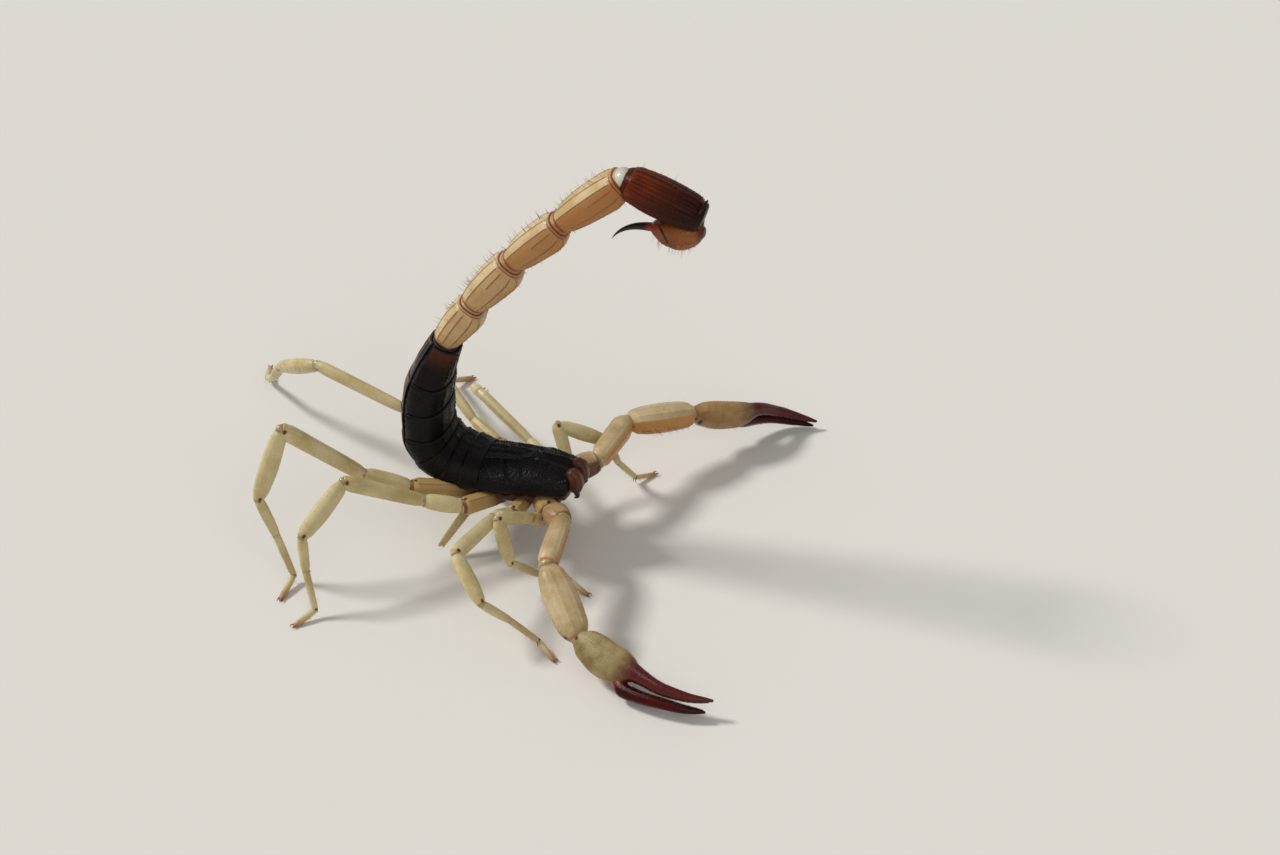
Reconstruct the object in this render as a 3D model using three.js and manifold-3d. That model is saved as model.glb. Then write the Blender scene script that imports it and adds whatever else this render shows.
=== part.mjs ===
// A desert scorpion of the family Buthidae in its threat posture: the trunk bends up in a C, the tail
// arches forward over the back, and the pincers reach forward. Millimetres, +Z up, the floor at z = 0
// and the head toward +X. The animal is laid out with its midline on y = 0 and is moved at the end, so
// that the origin lies on the floor under the middle of its bounding box.
import * as THREE from 'three';
import { mergeVertices } from 'three/addons/utils/BufferGeometryUtils.js';
import Module from 'manifold-3d';

const wasm = await Module();
wasm.setup();

// ---- driving dimensions ----

const GAP = 0.22; // clearance between neighbouring plates
const CARAPACE_LENGTH = 11.9;
const CARAPACE_REAR = new THREE.Vector3(1.2, 0, 10.6);
const HEAD_RISE = 0.8; // the carapace's front edge over its rear edge
const EYE_RADIUS = 0.36;
const SOLE_TO_TIP = 0.16; // height of a tarsus's tip over its sole

// The trunk's and tail's segments, from the carapace backward. A heading is the angle in the midline
// plane from straight back (0) over straight up (90) to straight forward (180) and down.
const MESOSOMA = [
  { length: 1.9, heading: 2, halfWidth: 4.7, halfDepth: 2.65 },
  { length: 2.3, heading: 12, halfWidth: 4.8, halfDepth: 2.75 },
  { length: 2.7, heading: 34, halfWidth: 4.9, halfDepth: 2.9 },
  { length: 3.1, heading: 66, halfWidth: 4.9, halfDepth: 3.0 },
  { length: 3.8, heading: 90, halfWidth: 4.7, halfDepth: 2.95 },
  { length: 4.2, heading: 100, halfWidth: 4.15, halfDepth: 2.75 },
  { length: 6.0, heading: 111.5, halfWidth: 2.3, halfDepth: 2.05 },
];
const METASOMA = [
  { length: 7.3, heading: 121, halfWidth: 2.6, halfDepth: 2.2 },
  { length: 8.9, heading: 126, halfWidth: 2.5, halfDepth: 2.3 },
  { length: 9.4, heading: 133, halfWidth: 2.4, halfDepth: 2.15 },
  { length: 11, heading: 136, halfWidth: 2.4, halfDepth: 2.15 },
  { length: 10.5, heading: 199, halfWidth: 2.45, halfDepth: 2.25 },
];
const VESICLE = { length: 6.3, heading: 356, halfWidth: 1.95, halfDepth: 1.9 };
const ACULEUS_LENGTH = 6.6;

// Leg pairs 1 to 4: the coxa's tip on the left side, the lengths of trochanter, femur, patella, tibia,
// basitarsus and telotarsus, and the girth as a share of the last pair's.
const LEG_PAIRS = [
  { hip: [10.3, 4.9, 7.0], lengths: [3.0, 6.0, 7.0, 4.3, 4.1, 3.1], girth: 0.8 },
  { hip: [6.9, 6.3, 8.4], lengths: [3.6, 10.2, 7.5, 4.7, 4.9, 3.2], girth: 0.9 },
  { hip: [0.5, 7.1, 8.8], lengths: [5.0, 11.4, 8.7, 4.6, 5.4, 3.3], girth: 0.95 },
  { hip: [-6.5, 7.0, 10.2], lengths: [6.2, 13.7, 9.8, 5.6, 6.6, 3.9], girth: 1 },
];

// The pose of each leg, as [swing, pitch] in degrees of trochanter, femur, patella, tibia and basitarsus,
// and the swing of the telotarsus, which reaches down to the floor. A swing turns from the head outward.
const LEG_POSES = {
  right_1: [[102, 42], [126, 26], [6, -76], [-32, -35], [-20, -15], 20],
  right_2: [[115, 22], [99, 8], [44, -25], [-31, -43], [-14, -42], 31],
  right_3: [[154, 17], [148, 26], [116, -31], [57, -76], [40, -69], 126],
  right_4: [[160, 21], [148, 42], [121, -64], [-7, -70], [0, -72], 95],
  left_1: [[97, -17], [134, 55], [20, -24], [40, -68], [41, -52], 51],
  left_2: [[135, 2], [152, 18], [116, -32], [107, -41], [107, -41], 100],
  left_3: [[150, 11], [144, 23], [89, -56], [101, -35], [101, -35], 55],
  left_4: [[171, 5], [171, 13], [150, -29], [129, -48], [124, -35], 107],
};

// Pedipalps: trochanter, femur, patella, hand and fingers as [length, swing, pitch].
const PALP_BASE = [11.2, 4.4, 8.5];
const PALP_POSES = {
  right: [[3.6, 44, 14], [9.2, 84, 0], [10.3, 48, -27], [8.6, 24, -12], [10.8, 9, -3.2]],
  left: [[3.6, 34, 13], [8.8, 82, 2], [10.5, 48, -12.3], [8.4, 39, -19], [10.8, 38, -20.5]],
};

// ---- small tools ----

const X = new THREE.Vector3(1, 0, 0);
const Y = new THREE.Vector3(0, 1, 0);
const Z = new THREE.Vector3(0, 0, 1);
const SIDES = { right: -1, left: 1 };

const radians = THREE.MathUtils.degToRad;
const along = (start, direction, distance) => start.clone().addScaledVector(direction, distance);

// Directions in the midline plane for a heading.
const backward = (heading) => new THREE.Vector3(-Math.cos(radians(heading)), 0, Math.sin(radians(heading)));
const dorsal = (heading) => new THREE.Vector3(Math.sin(radians(heading)), 0, Math.cos(radians(heading)));

// The direction of a limb's bone on one side of the body.
function limbDirection(sign, swing, pitch) {
  const level = Math.cos(radians(pitch));
  const turn = radians(swing);
  return new THREE.Vector3(level * Math.cos(turn), sign * level * Math.sin(turn), Math.sin(radians(pitch)));
}

// A closed superellipse ring of points round a centre. top and bottom are its two half heights.
function ring({ center, side, up, width, top, bottom = top, power = 2.2 }, sides) {
  const points = [];
  for (let i = 0; i < sides; i += 1) {
    const angle = (2 * Math.PI * (i + 0.5)) / sides;
    const c = Math.cos(angle);
    const s = Math.sin(angle);
    const height = s > 0 ? top : bottom;
    const across = Math.sign(c) * Math.abs(c) ** (2 / power) * width;
    const upward = Math.sign(s) * Math.abs(s) ** (2 / power) * height;
    points.push(center.clone().addScaledVector(side, across).addScaledVector(up, upward));
  }
  return points;
}

// A closed body through a row of rings, each with as many points, with a fan over each end.
function loft(rings) {
  const sides = rings[0].length;
  const vertices = rings.flat();
  const faces = [];
  for (let r = 0; r + 1 < rings.length; r += 1) {
    for (let i = 0; i < sides; i += 1) {
      const a = r * sides + i;
      const b = r * sides + ((i + 1) % sides);
      faces.push(a, b, b + sides, a, b + sides, a + sides);
    }
  }
  const last = (rings.length - 1) * sides;
  for (const [start, flip] of [[0, true], [last, false]]) {
    const middle = new THREE.Vector3();
    for (let i = 0; i < sides; i += 1) {
      middle.addScaledVector(vertices[start + i], 1 / sides);
    }
    const hub = vertices.push(middle) - 1;
    for (let i = 0; i < sides; i += 1) {
      const a = start + i;
      const b = start + ((i + 1) % sides);
      faces.push(...(flip ? [b, a, hub] : [a, b, hub]));
    }
  }
  const geometry = new THREE.BufferGeometry();
  const positions = vertices.flatMap((v) => v.toArray());
  geometry.setAttribute('position', new THREE.Float32BufferAttribute(positions, 3));
  geometry.setIndex(faces);
  return geometry;
}

// A closed three.js geometry as a solid that can be cut and joined, whichever way its faces wind.
function solidOf(geometry) {
  const bare = geometry.clone();
  bare.deleteAttribute('normal');
  bare.deleteAttribute('uv');
  const merged = mergeVertices(bare, 1e-4);
  const vertProperties = Float32Array.from(merged.attributes.position.array);
  const triVerts = Uint32Array.from(merged.index.array);
  let solid = new wasm.Manifold(new wasm.Mesh({ numProp: 3, vertProperties, triVerts }));
  if (solid.volume() < 0) {
    for (let i = 0; i < triVerts.length; i += 3) {
      [triVerts[i], triVerts[i + 1]] = [triVerts[i + 1], triVerts[i]];
    }
    solid = new wasm.Manifold(new wasm.Mesh({ numProp: 3, vertProperties, triVerts }));
  }
  return solid;
}

function geometryOf(solid) {
  const mesh = solid.getMesh();
  const geometry = new THREE.BufferGeometry();
  geometry.setAttribute('position', new THREE.BufferAttribute(Float32Array.from(mesh.vertProperties), 3));
  geometry.setIndex(new THREE.BufferAttribute(Uint32Array.from(mesh.triVerts), 1));
  const flat = geometry.toNonIndexed();
  flat.computeVertexNormals();
  return flat;
}

const join = (solids) => solids.reduce((whole, piece) => whole.add(piece));

// One bone of a limb: rows are [share of the length, half width, half height], and each end is rounded
// off past the joint. grow makes the body larger all round, for cutting clearances.
function bone(start, end, side, rows, { grow = 0, sides = 8, bow = new THREE.Vector3() } = {}) {
  const axis = end.clone().sub(start);
  const length = axis.length();
  axis.normalize();
  const across = side.clone().addScaledVector(axis, -side.dot(axis)).normalize();
  const up = axis.clone().cross(across);
  const ringAt = (distance, width, height) => {
    const share = THREE.MathUtils.clamp(distance / length, 0, 1);
    const center = along(start, axis, distance).addScaledVector(bow, Math.sin(Math.PI * share));
    return ring({ center, side: across, up, width, top: height }, sides);
  };
  const [first, last] = [rows[0], rows[rows.length - 1]];
  const rings = rows.map(([share, width, height]) => ringAt(share * length, width + grow, height + grow));
  const cap = (row, direction) => {
    const reach = 0.45 * row[2] + grow;
    return ringAt(row[0] * length + direction * reach, 0.55 * (row[1] + grow), 0.55 * (row[2] + grow));
  };
  return solidOf(loft([cap(first, -1), ...rings, cap(last, 1)]));
}

// ---- parts list: each part is built as a solid and then cleared of the ones that it borders ----

const COLORS = {
  trunk: [0x17100e, 0.45],
  coxa: [0x5a2c1a, 0.5],
  chelicera: [0x6b4326, 0.5],
  limb: [0xc9b27a, 0.45],
  hand: [0xa98a55, 0.45],
  finger: [0x4a1f16, 0.4],
  tail: [0xb8924a, 0.5],
  tailEnd: [0x54261a, 0.5],
  vesicle: [0xb97a2c, 0.4],
  sting: [0x1c0d0a, 0.3],
  eye: [0x050505, 0.15],
  comb: [0xcdbb92, 0.5],
};

const group = new THREE.Group();
const shapes = new Map();

function addPart(name, color, shape, clearOf = []) {
  shapes.set(name, shape);
  let solid = shape(0);
  for (const neighbour of clearOf) {
    solid = solid.subtract(shapes.get(neighbour)(GAP));
  }
  const [hex, roughness] = COLORS[color];
  const material = new THREE.MeshStandardMaterial({ color: hex, roughness, metalness: 0 });
  const mesh = new THREE.Mesh(geometryOf(solid), material);
  mesh.name = name;
  group.add(mesh);
}

// ---- prosoma: carapace, eyes, coxae and sternum, chelicerae ----

// A point at a share of the prosoma's length from its rear; its front is held up by HEAD_RISE.
function prosomaPoint(share, y, z) {
  return new THREE.Vector3(CARAPACE_REAR.x + share * CARAPACE_LENGTH, y, z + share * HEAD_RISE);
}

const MARGIN_HEIGHT = CARAPACE_REAR.z - 0.6;

// Rows are [share of the length from the rear, half width, height over the margin].
const CARAPACE_ROWS = [
  [0.02, 4.6, 2.85],
  [0.3, 4.6, 2.95],
  [0.6, 4.25, 3.0],
  [0.85, 3.95, 2.5],
  [1.0, 3.5, 1.85],
];

const eyeCenter = (sign) => prosomaPoint(0.6, sign * 0.62, MARGIN_HEIGHT + 2.93);

function eyeBall(sign, grow) {
  const ball = new THREE.SphereGeometry(EYE_RADIUS + grow, 8, 5);
  return solidOf(ball.translate(...eyeCenter(sign).toArray()));
}

function carapace(grow) {
  const rings = CARAPACE_ROWS.map(([share, width, top]) => {
    const center = prosomaPoint(share, 0, MARGIN_HEIGHT);
    return ring({ center, side: Y, up: Z, width: width + grow, top: top + grow, bottom: 0.3 + grow }, 12);
  });
  if (grow > 0) {
    rings.push(rings.at(-1).map((point) => along(point, X, grow)));
  }
  return solidOf(loft(rings));
}

// The floor of the prosoma and the coxae, which lie side by side and run out and back to the hips.
const COXA_ROOTS = [[9.2, 1.3, 8.0], [7.4, 1.4, 7.9], [4.6, 1.7, 7.9], [2.0, 2.0, 8.1]];

function coxosternum(grow) {
  const floorRows = [[0.02, 4.1, 0.9], [0.35, 4.1, 1.2], [0.7, 3.5, 1.2], [0.92, 2.7, 0.9]];
  const slab = floorRows.map(([share, width, depth]) => {
    const center = prosomaPoint(share, 0, MARGIN_HEIGHT - 0.3 - GAP - 0.9);
    return ring({ center, side: Y, up: Z, width: width + grow, top: 0.9, bottom: depth + grow }, 8);
  });
  const pieces = [solidOf(loft(slab))];
  for (const sign of Object.values(SIDES)) {
    const mirrored = ([x, y, z]) => new THREE.Vector3(x, sign * y, z);
    LEG_PAIRS.forEach(({ hip, girth }, pair) => {
      const rows = [[0, 0.9, 0.9], [1, 1.1 * girth, 1.1 * girth]];
      pieces.push(bone(mirrored(COXA_ROOTS[pair]), mirrored(hip), Z, rows, { grow, sides: 5 }));
    });
    const palpRows = [[0, 1.2, 1.1], [1, 1.35, 1.3]];
    pieces.push(bone(mirrored([8.6, 1.6, 8.6]), mirrored(PALP_BASE), Z, palpRows, { grow, sides: 5 }));
  }
  return join(pieces);
}

// A chelicera's hand hangs down from the head's front: rows are [distance ahead of its middle, height
// over it, pitch of its run there, half width, half depth].
const CHELICERA_ROWS = [
  [-0.4, 0.8, -60, 0.5, 0.5],
  [-0.25, 0.45, -70, 0.88, 0.92],
  [-0.05, -0.25, -80, 1.04, 1.12],
  [0.12, -1.2, -86, 1.03, 1.1],
  [0.15, -1.9, -90, 0.88, 0.88],
  [0.15, -2.35, -90, 0.6, 0.55],
];

// A hand with a fixed and a movable finger that point down.
function chelicera(sign, grow) {
  const middle = new THREE.Vector3(13.5, sign * 1.2, 12.35);
  const rings = CHELICERA_ROWS.map(([ahead, rise, pitch, width, depth]) => {
    const center = middle.clone().add(new THREE.Vector3(ahead, 0, rise));
    const up = dorsal(180 - pitch).negate();
    return ring({ center, side: Y, up, width: width + grow, top: depth + grow }, 8);
  });
  const fingers = [-0.45, 0.45].map((offset) => {
    const start = middle.clone().add(new THREE.Vector3(0.4, sign * offset, -1.9));
    const tip = middle.clone().add(new THREE.Vector3(0.15, sign * offset * 0.7, -3.5));
    return bone(start, tip, Y, [[0, 0.42, 0.5], [1, 0.25, 0.28]], { grow, sides: 5 });
  });
  return join([solidOf(loft(rings)), ...fingers]);
}

for (const [name, sign] of Object.entries(SIDES)) {
  addPart(`eye_${name}`, 'eye', (grow) => eyeBall(sign, grow / 2));
}
addPart('carapace', 'trunk', carapace, ['eye_right', 'eye_left']);
addPart('coxosternum', 'coxa', coxosternum, ['carapace']);
addPart('chelicera_right', 'chelicera', (grow) => chelicera(-1, grow), ['carapace', 'coxosternum']);
addPart('chelicera_left', 'chelicera', (grow) => chelicera(1, grow),
  ['carapace', 'coxosternum', 'chelicera_right']);

// ---- mesosoma: seven rings of the trunk, each between the planes that halve the bends ----

let spinePoint = CARAPACE_REAR.clone();
let halfWidth = CARAPACE_ROWS[0][1];
let halfDepth = MESOSOMA[0].halfDepth;

MESOSOMA.forEach((segment, index) => {
  const start = spinePoint;
  const end = along(start, backward(segment.heading), segment.length);
  const before = index > 0 ? MESOSOMA[index - 1].heading : 0;
  const after = (MESOSOMA[index + 1] ?? METASOMA[0]).heading;
  const startTilt = (before + segment.heading) / 2;
  const endTilt = (segment.heading + after) / 2;
  const startWidth = halfWidth;
  const startDepth = halfDepth;
  const shape = (grow) => {
    const stations = [0.5 * GAP - grow, segment.length / 2, segment.length - 0.5 * GAP + grow];
    const tilts = [startTilt, segment.heading, endTilt];
    const rings = stations.map((distance, i) => {
      const share = i / 2;
      const bulge = i === 1 ? 0.12 : 0;
      const width = THREE.MathUtils.lerp(startWidth, segment.halfWidth, share) + bulge + grow;
      const depth = THREE.MathUtils.lerp(startDepth, segment.halfDepth, share) + grow;
      const center = along(start, backward(segment.heading), distance);
      return ring({ center, side: Y, up: dorsal(tilts[i]), width, top: depth, power: 2.4 }, 14);
    });
    return solidOf(loft(rings));
  };
  addPart(`mesosoma_${index + 1}`, 'trunk', shape, ['coxosternum']);
  spinePoint = end;
  halfWidth = segment.halfWidth;
  halfDepth = segment.halfDepth;
});

// ---- metasoma: five barrels with narrow ends ----

// Rows are [share of the length, width, dorsal height, ventral height], as shares of the halves above.
const TAIL_ROWS = [
  [0.045, 0.68, 0.54, 0.78],
  [0.2, 0.88, 0.76, 0.94],
  [0.5, 1.0, 0.98, 1.02],
  [0.8, 1.0, 1.14, 0.98],
  [0.975, 0.7, 0.7, 0.8],
];
const LAST_TAIL_ROWS = [
  [0.03, 0.7, 0.6, 0.78],
  [0.14, 0.9, 0.84, 0.98],
  [0.45, 1.04, 1.02, 1.06],
  [0.8, 0.94, 0.94, 0.96],
  [0.97, 0.74, 0.78, 0.78],
];

METASOMA.forEach((segment, index) => {
  const start = spinePoint;
  const end = along(start, backward(segment.heading), segment.length);
  const last = index === METASOMA.length - 1;
  const rows = last ? LAST_TAIL_ROWS : TAIL_ROWS;
  const shape = (grow) => {
    const rings = rows.map(([share, width, upper, lower]) => ring({
      center: along(start, backward(segment.heading), share * segment.length),
      side: Y,
      up: dorsal(segment.heading),
      width: segment.halfWidth * width + grow,
      top: segment.halfDepth * upper + grow,
      bottom: segment.halfDepth * lower + grow,
      power: 2.6,
    }, 12));
    return solidOf(loft(rings));
  };
  const neighbour = index > 0 ? `metasoma_${index}` : 'mesosoma_7';
  addPart(`metasoma_${index + 1}`, last ? 'tailEnd' : 'tail', shape, [neighbour]);
  spinePoint = end;
});

// ---- telson: the vesicle folded under the last tail segment, and the sting ----

const vesicleAxis = backward(VESICLE.heading);
const vesicleUp = dorsal(VESICLE.heading);
const vesicleStart = spinePoint.clone().add(new THREE.Vector3(0.1, 0, -2.1));
const vesicleEnd = along(vesicleStart, vesicleAxis, VESICLE.length);

// Rows are [share of the length, width, dorsal height, ventral height], as shares of the halves above.
const VESICLE_ROWS = [
  [0, 0.5, 0.4, 0.4],
  [0.15, 0.85, 0.6, 0.9],
  [0.45, 1, 0.8, 1.3],
  [0.75, 0.85, 0.75, 1.05],
  [0.95, 0.5, 0.5, 0.5],
  [1, 0.34, 0.3, 0.3],
];

function vesicle(grow) {
  const rings = VESICLE_ROWS.map(([share, w, up, down]) => ring({
    center: along(vesicleStart, vesicleAxis, share * VESICLE.length),
    side: Y,
    up: vesicleUp,
    width: VESICLE.halfWidth * w + grow,
    top: VESICLE.halfDepth * up + grow,
    bottom: VESICLE.halfDepth * down + grow,
  }, 10));
  return solidOf(loft(rings));
}

// The sting bends down in an arc from the vesicle's end.
function aculeus(grow) {
  const steps = 6;
  const rings = [];
  const point = along(vesicleEnd, vesicleAxis, -0.5);
  for (let i = 0; i <= steps; i += 1) {
    const share = i / steps;
    const heading = VESICLE.heading + 4 - 66 * share ** 1.4;
    const radius = THREE.MathUtils.lerp(0.6, 0.12, share ** 1.3) + grow;
    rings.push(ring({ center: point.clone(), side: Y, up: dorsal(heading), width: radius, top: radius }, 7));
    point.addScaledVector(backward(heading), ACULEUS_LENGTH / steps);
  }
  return solidOf(loft(rings));
}

addPart('vesicle', 'vesicle', vesicle, ['metasoma_5']);
addPart('aculeus', 'sting', aculeus, ['vesicle', 'metasoma_5']);

// ---- pedipalps ----

const PALP_ROWS = {
  trochanter: [[0, 1.15, 1.15], [0.5, 1.65, 1.6], [1, 1.4, 1.35]],
  femur: [[0, 1.05, 1.2], [0.2, 1.25, 1.55], [0.85, 1.35, 1.65], [1, 1.15, 1.35]],
  patella: [[0, 1.1, 1.0], [0.14, 1.65, 1.4], [0.5, 2.15, 1.6], [0.85, 1.95, 1.5], [1, 1.3, 1.15]],
  hand: [[0, 0.95, 1.2], [0.18, 1.3, 1.95], [0.55, 1.5, 2.4], [0.9, 1.3, 2.1], [1, 1.0, 1.7]],
};
const FINGER_ROWS = [[0, 0.8, 0.95], [0.3, 0.76, 0.82], [0.6, 0.66, 0.7], [0.85, 0.46, 0.5], [1, 0.27, 0.28]];
const HAND_TILT = { right: 48, left: 66 }; // the lean of a hand's broad face, outward from straight up
const TIP_SPREAD = { right: 0.75, left: 0.45 }; // how far the finger tips part, as a share of their roots
const FINGER_BOW = 1.3; // both fingers curve in towards their tips, so their middles lie this far outward

function palpJoints(sign, pose) {
  const [x, y, z] = PALP_BASE;
  const joints = [new THREE.Vector3(x, sign * y, z)];
  for (const [length, swing, pitch] of pose) {
    joints.push(along(joints.at(-1), limbDirection(sign, swing, pitch), length));
  }
  return joints;
}

for (const [name, sign] of Object.entries(SIDES)) {
  const label = `palp_${name}`;
  const joints = palpJoints(sign, PALP_POSES[name]);
  const names = ['trochanter', 'femur', 'patella'];
  names.forEach((part, i) => {
    const level = Z.clone().cross(joints[i + 1].clone().sub(joints[i])).normalize();
    const shape = (grow) => bone(joints[i], joints[i + 1], level, PALP_ROWS[part], { grow, sides: 8 });
    addPart(`${label}_${part}`, 'limb', shape, [i > 0 ? `${label}_${names[i - 1]}` : 'coxosternum']);
  });

  // The hand's narrow direction, square to its broad face, and the row of its two fingers.
  const handRun = joints[4].clone().sub(joints[3]).normalize();
  const outward = Z.clone().cross(handRun).multiplyScalar(sign);
  const bow = outward.clone().multiplyScalar(FINGER_BOW);
  const faceNormal = outward.multiplyScalar(Math.sin(radians(HAND_TILT[name])))
    .addScaledVector(Z, Math.cos(radians(HAND_TILT[name])));
  faceNormal.addScaledVector(handRun, -faceNormal.dot(handRun)).normalize();
  const fingerRow = faceNormal.clone().cross(handRun).multiplyScalar(sign);
  const finger = (offset, grow) => {
    const start = along(joints[4], fingerRow, offset).addScaledVector(handRun, -0.6);
    const tip = along(joints[5], fingerRow, TIP_SPREAD[name] * offset);
    return bone(start, tip, faceNormal, FINGER_ROWS, { grow, sides: 6, bow });
  };
  const hand = (grow) => join([
    bone(joints[3], joints[4], faceNormal, PALP_ROWS.hand, { grow, sides: 8 }),
    finger(-1.1, grow),
  ]);
  addPart(`${label}_hand`, 'hand', hand, [`${label}_patella`]);
  addPart(`${label}_finger`, 'finger', (grow) => finger(1.2, grow), [`${label}_hand`]);
}

// ---- legs ----

const FEMUR_ROWS = [[0, 0.66, 0.84], [0.2, 0.76, 0.98], [0.85, 0.8, 1.08], [1, 0.72, 1.02]];
const LEG_ROWS = [
  [[0, 0.72, 0.9], [0.45, 0.88, 1.15], [1, 0.74, 0.94]],
  FEMUR_ROWS,
  [[0, 0.52, 0.6], [0.15, 0.76, 1.06], [0.6, 0.84, 1.22], [1, 0.58, 0.82]],
  [[0, 0.48, 0.56], [0.2, 0.58, 0.72], [1, 0.46, 0.56]],
  [[0, 0.44, 0.52], [1, 0.38, 0.42]],
  [[0, 0.38, 0.42], [1, 0.44, 0.44]],
];

// All below the floor is cut away, which gives each sole its flat.
const underFloor = solidOf(new THREE.BoxGeometry(300, 300, 20).translate(0, 0, -10));

function legJoints(sign, pair, pose) {
  const [x, y, z] = pair.hip;
  const joints = [new THREE.Vector3(x, sign * y, z)];
  pose.slice(0, 5).forEach(([swing, pitch], i) => {
    joints.push(along(joints.at(-1), limbDirection(sign, swing, pitch), pair.lengths[i]));
  });
  const ankle = joints.at(-1);
  const reach = pair.lengths[5];
  const pitch = -THREE.MathUtils.radToDeg(Math.asin((ankle.z - SOLE_TO_TIP) / reach));
  joints.push(along(ankle, limbDirection(sign, pose[5], pitch), reach));
  return joints;
}

for (const [name, sign] of Object.entries(SIDES)) {
  LEG_PAIRS.forEach((pair, index) => {
    const label = `leg_${name}_${index + 1}`;
    const joints = legJoints(sign, pair, LEG_POSES[`${name}_${index + 1}`]);
    const femurRun = joints[2].clone().sub(joints[1]);
    const patellaRun = joints[3].clone().sub(joints[2]);
    const side = femurRun.cross(patellaRun).normalize();
    const piece = (i, grow, sides) => {
      const rows = LEG_ROWS[i].map(([share, w, h]) => [share, w * pair.girth, h * pair.girth]);
      return bone(joints[i], joints[i + 1], side, rows, { grow, sides });
    };
    const upper = (grow) => join([piece(0, grow, 6), piece(1, grow, 7)]);
    addPart(`${label}_femur`, 'limb', upper, ['coxosternum', `palp_${name}_trochanter`]);
    addPart(`${label}_patella`, 'limb', (grow) => piece(2, grow, 7), [`${label}_femur`]);
    const tarsus = (grow) => join([3, 4, 5].map((i) => piece(i, grow, 5))).subtract(underFloor);
    addPart(`${label}_tarsus`, 'limb', tarsus, [`${label}_patella`]);
  });
}

// ---- pectines: the combs under the second segment, lowered toward the floor ----

for (const [name, sign] of Object.entries(SIDES)) {
  const root = new THREE.Vector3(1.0, sign * 1.6, 7.6);
  const tip = new THREE.Vector3(-2.8, sign * 7.4, 2.0);
  const rows = [[0, 0.3, 0.6], [0.2, 0.3, 0.85], [0.75, 0.28, 0.75], [1, 0.26, 0.4]];
  const comb = (grow) => bone(root, tip, new THREE.Vector3(1, 0, 0.6), rows, { grow, sides: 8 });
  addPart(`pectine_${name}`, 'comb', comb, ['coxosternum', 'mesosoma_1', 'mesosoma_2', 'mesosoma_3']);
}

// ---- the origin: on the floor, under the middle of the bounding box ----

const box = new THREE.Box3().setFromObject(group);
const middle = box.getCenter(new THREE.Vector3());
for (const mesh of group.children) {
  mesh.position.set(-middle.x, -middle.y, 0);
}

export default group;
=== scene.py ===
import math

import bpy
import numpy as np
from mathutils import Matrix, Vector


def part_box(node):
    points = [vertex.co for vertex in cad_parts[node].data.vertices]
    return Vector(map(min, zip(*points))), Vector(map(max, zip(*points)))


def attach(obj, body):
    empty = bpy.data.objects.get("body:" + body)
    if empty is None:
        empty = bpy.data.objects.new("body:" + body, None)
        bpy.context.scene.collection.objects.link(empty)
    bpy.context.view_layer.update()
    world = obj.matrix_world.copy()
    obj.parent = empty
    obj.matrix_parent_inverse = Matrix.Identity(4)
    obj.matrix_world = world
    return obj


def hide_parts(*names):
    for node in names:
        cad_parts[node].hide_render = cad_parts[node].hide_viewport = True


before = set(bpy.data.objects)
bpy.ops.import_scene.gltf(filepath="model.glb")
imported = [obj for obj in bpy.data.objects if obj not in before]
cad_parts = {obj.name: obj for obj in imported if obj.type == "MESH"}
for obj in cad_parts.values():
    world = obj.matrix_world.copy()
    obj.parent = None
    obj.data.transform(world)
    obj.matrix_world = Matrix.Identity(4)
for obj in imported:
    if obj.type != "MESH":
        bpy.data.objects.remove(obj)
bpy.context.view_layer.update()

# The looks of a desert scorpion in its threat posture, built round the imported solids.
# Lengths are millimetres in the layout frame of the solids, with the midline on y = 0; make_object()
# shifts them to the frame's origin and turns them into metres. Angles in tables are degrees.

rng = np.random.default_rng(11)

# ---- the posed skeleton, as the solids have it ----

CARAPACE_LENGTH = 11.9
CARAPACE_REAR = np.array([1.2, 0, 10.6])
MARGIN_HEIGHT = CARAPACE_REAR[2] - 0.6
HEAD_RISE = 0.8
EYE_RADIUS = 0.36
EYE_SHARE, EYE_SPREAD, EYE_HEIGHT = 0.6, 0.62, 2.93
SOLE_TO_TIP = 0.16

# length, heading, half width, half depth
MESOSOMA = [
    (1.9, 2, 4.7, 2.65), (2.3, 12, 4.8, 2.75), (2.7, 34, 4.9, 2.9), (3.1, 66, 4.9, 3),
    (3.8, 90, 4.7, 2.95), (4.2, 100, 4.15, 2.75), (6, 111.5, 2.3, 2.05),
]
METASOMA = [
    (7.3, 121, 2.6, 2.2), (8.9, 126, 2.5, 2.3), (9.4, 133, 2.4, 2.15),
    (11, 136, 2.4, 2.15), (10.5, 199, 2.45, 2.25),
]
VESICLE_LENGTH, VESICLE_HEADING, VESICLE_WIDTH, VESICLE_DEPTH = 6.3, 356, 1.95, 1.9
VESICLE_DROP = np.array([0.1, 0, -2.1])  # from the last tail joint to the vesicle's root
ACULEUS_LENGTH = 6.6

# hip, lengths of trochanter to telotarsus, girth
LEG_PAIRS = [
    ((10.3, 4.9, 7), (3, 6, 7, 4.3, 4.1, 3.1), 0.8),
    ((6.9, 6.3, 8.4), (3.6, 10.2, 7.5, 4.7, 4.9, 3.2), 0.9),
    ((0.5, 7.1, 8.8), (5, 11.4, 8.7, 4.6, 5.4, 3.3), 0.95),
    ((-6.5, 7, 10.2), (6.2, 13.7, 9.8, 5.6, 6.6, 3.9), 1),
]
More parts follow.
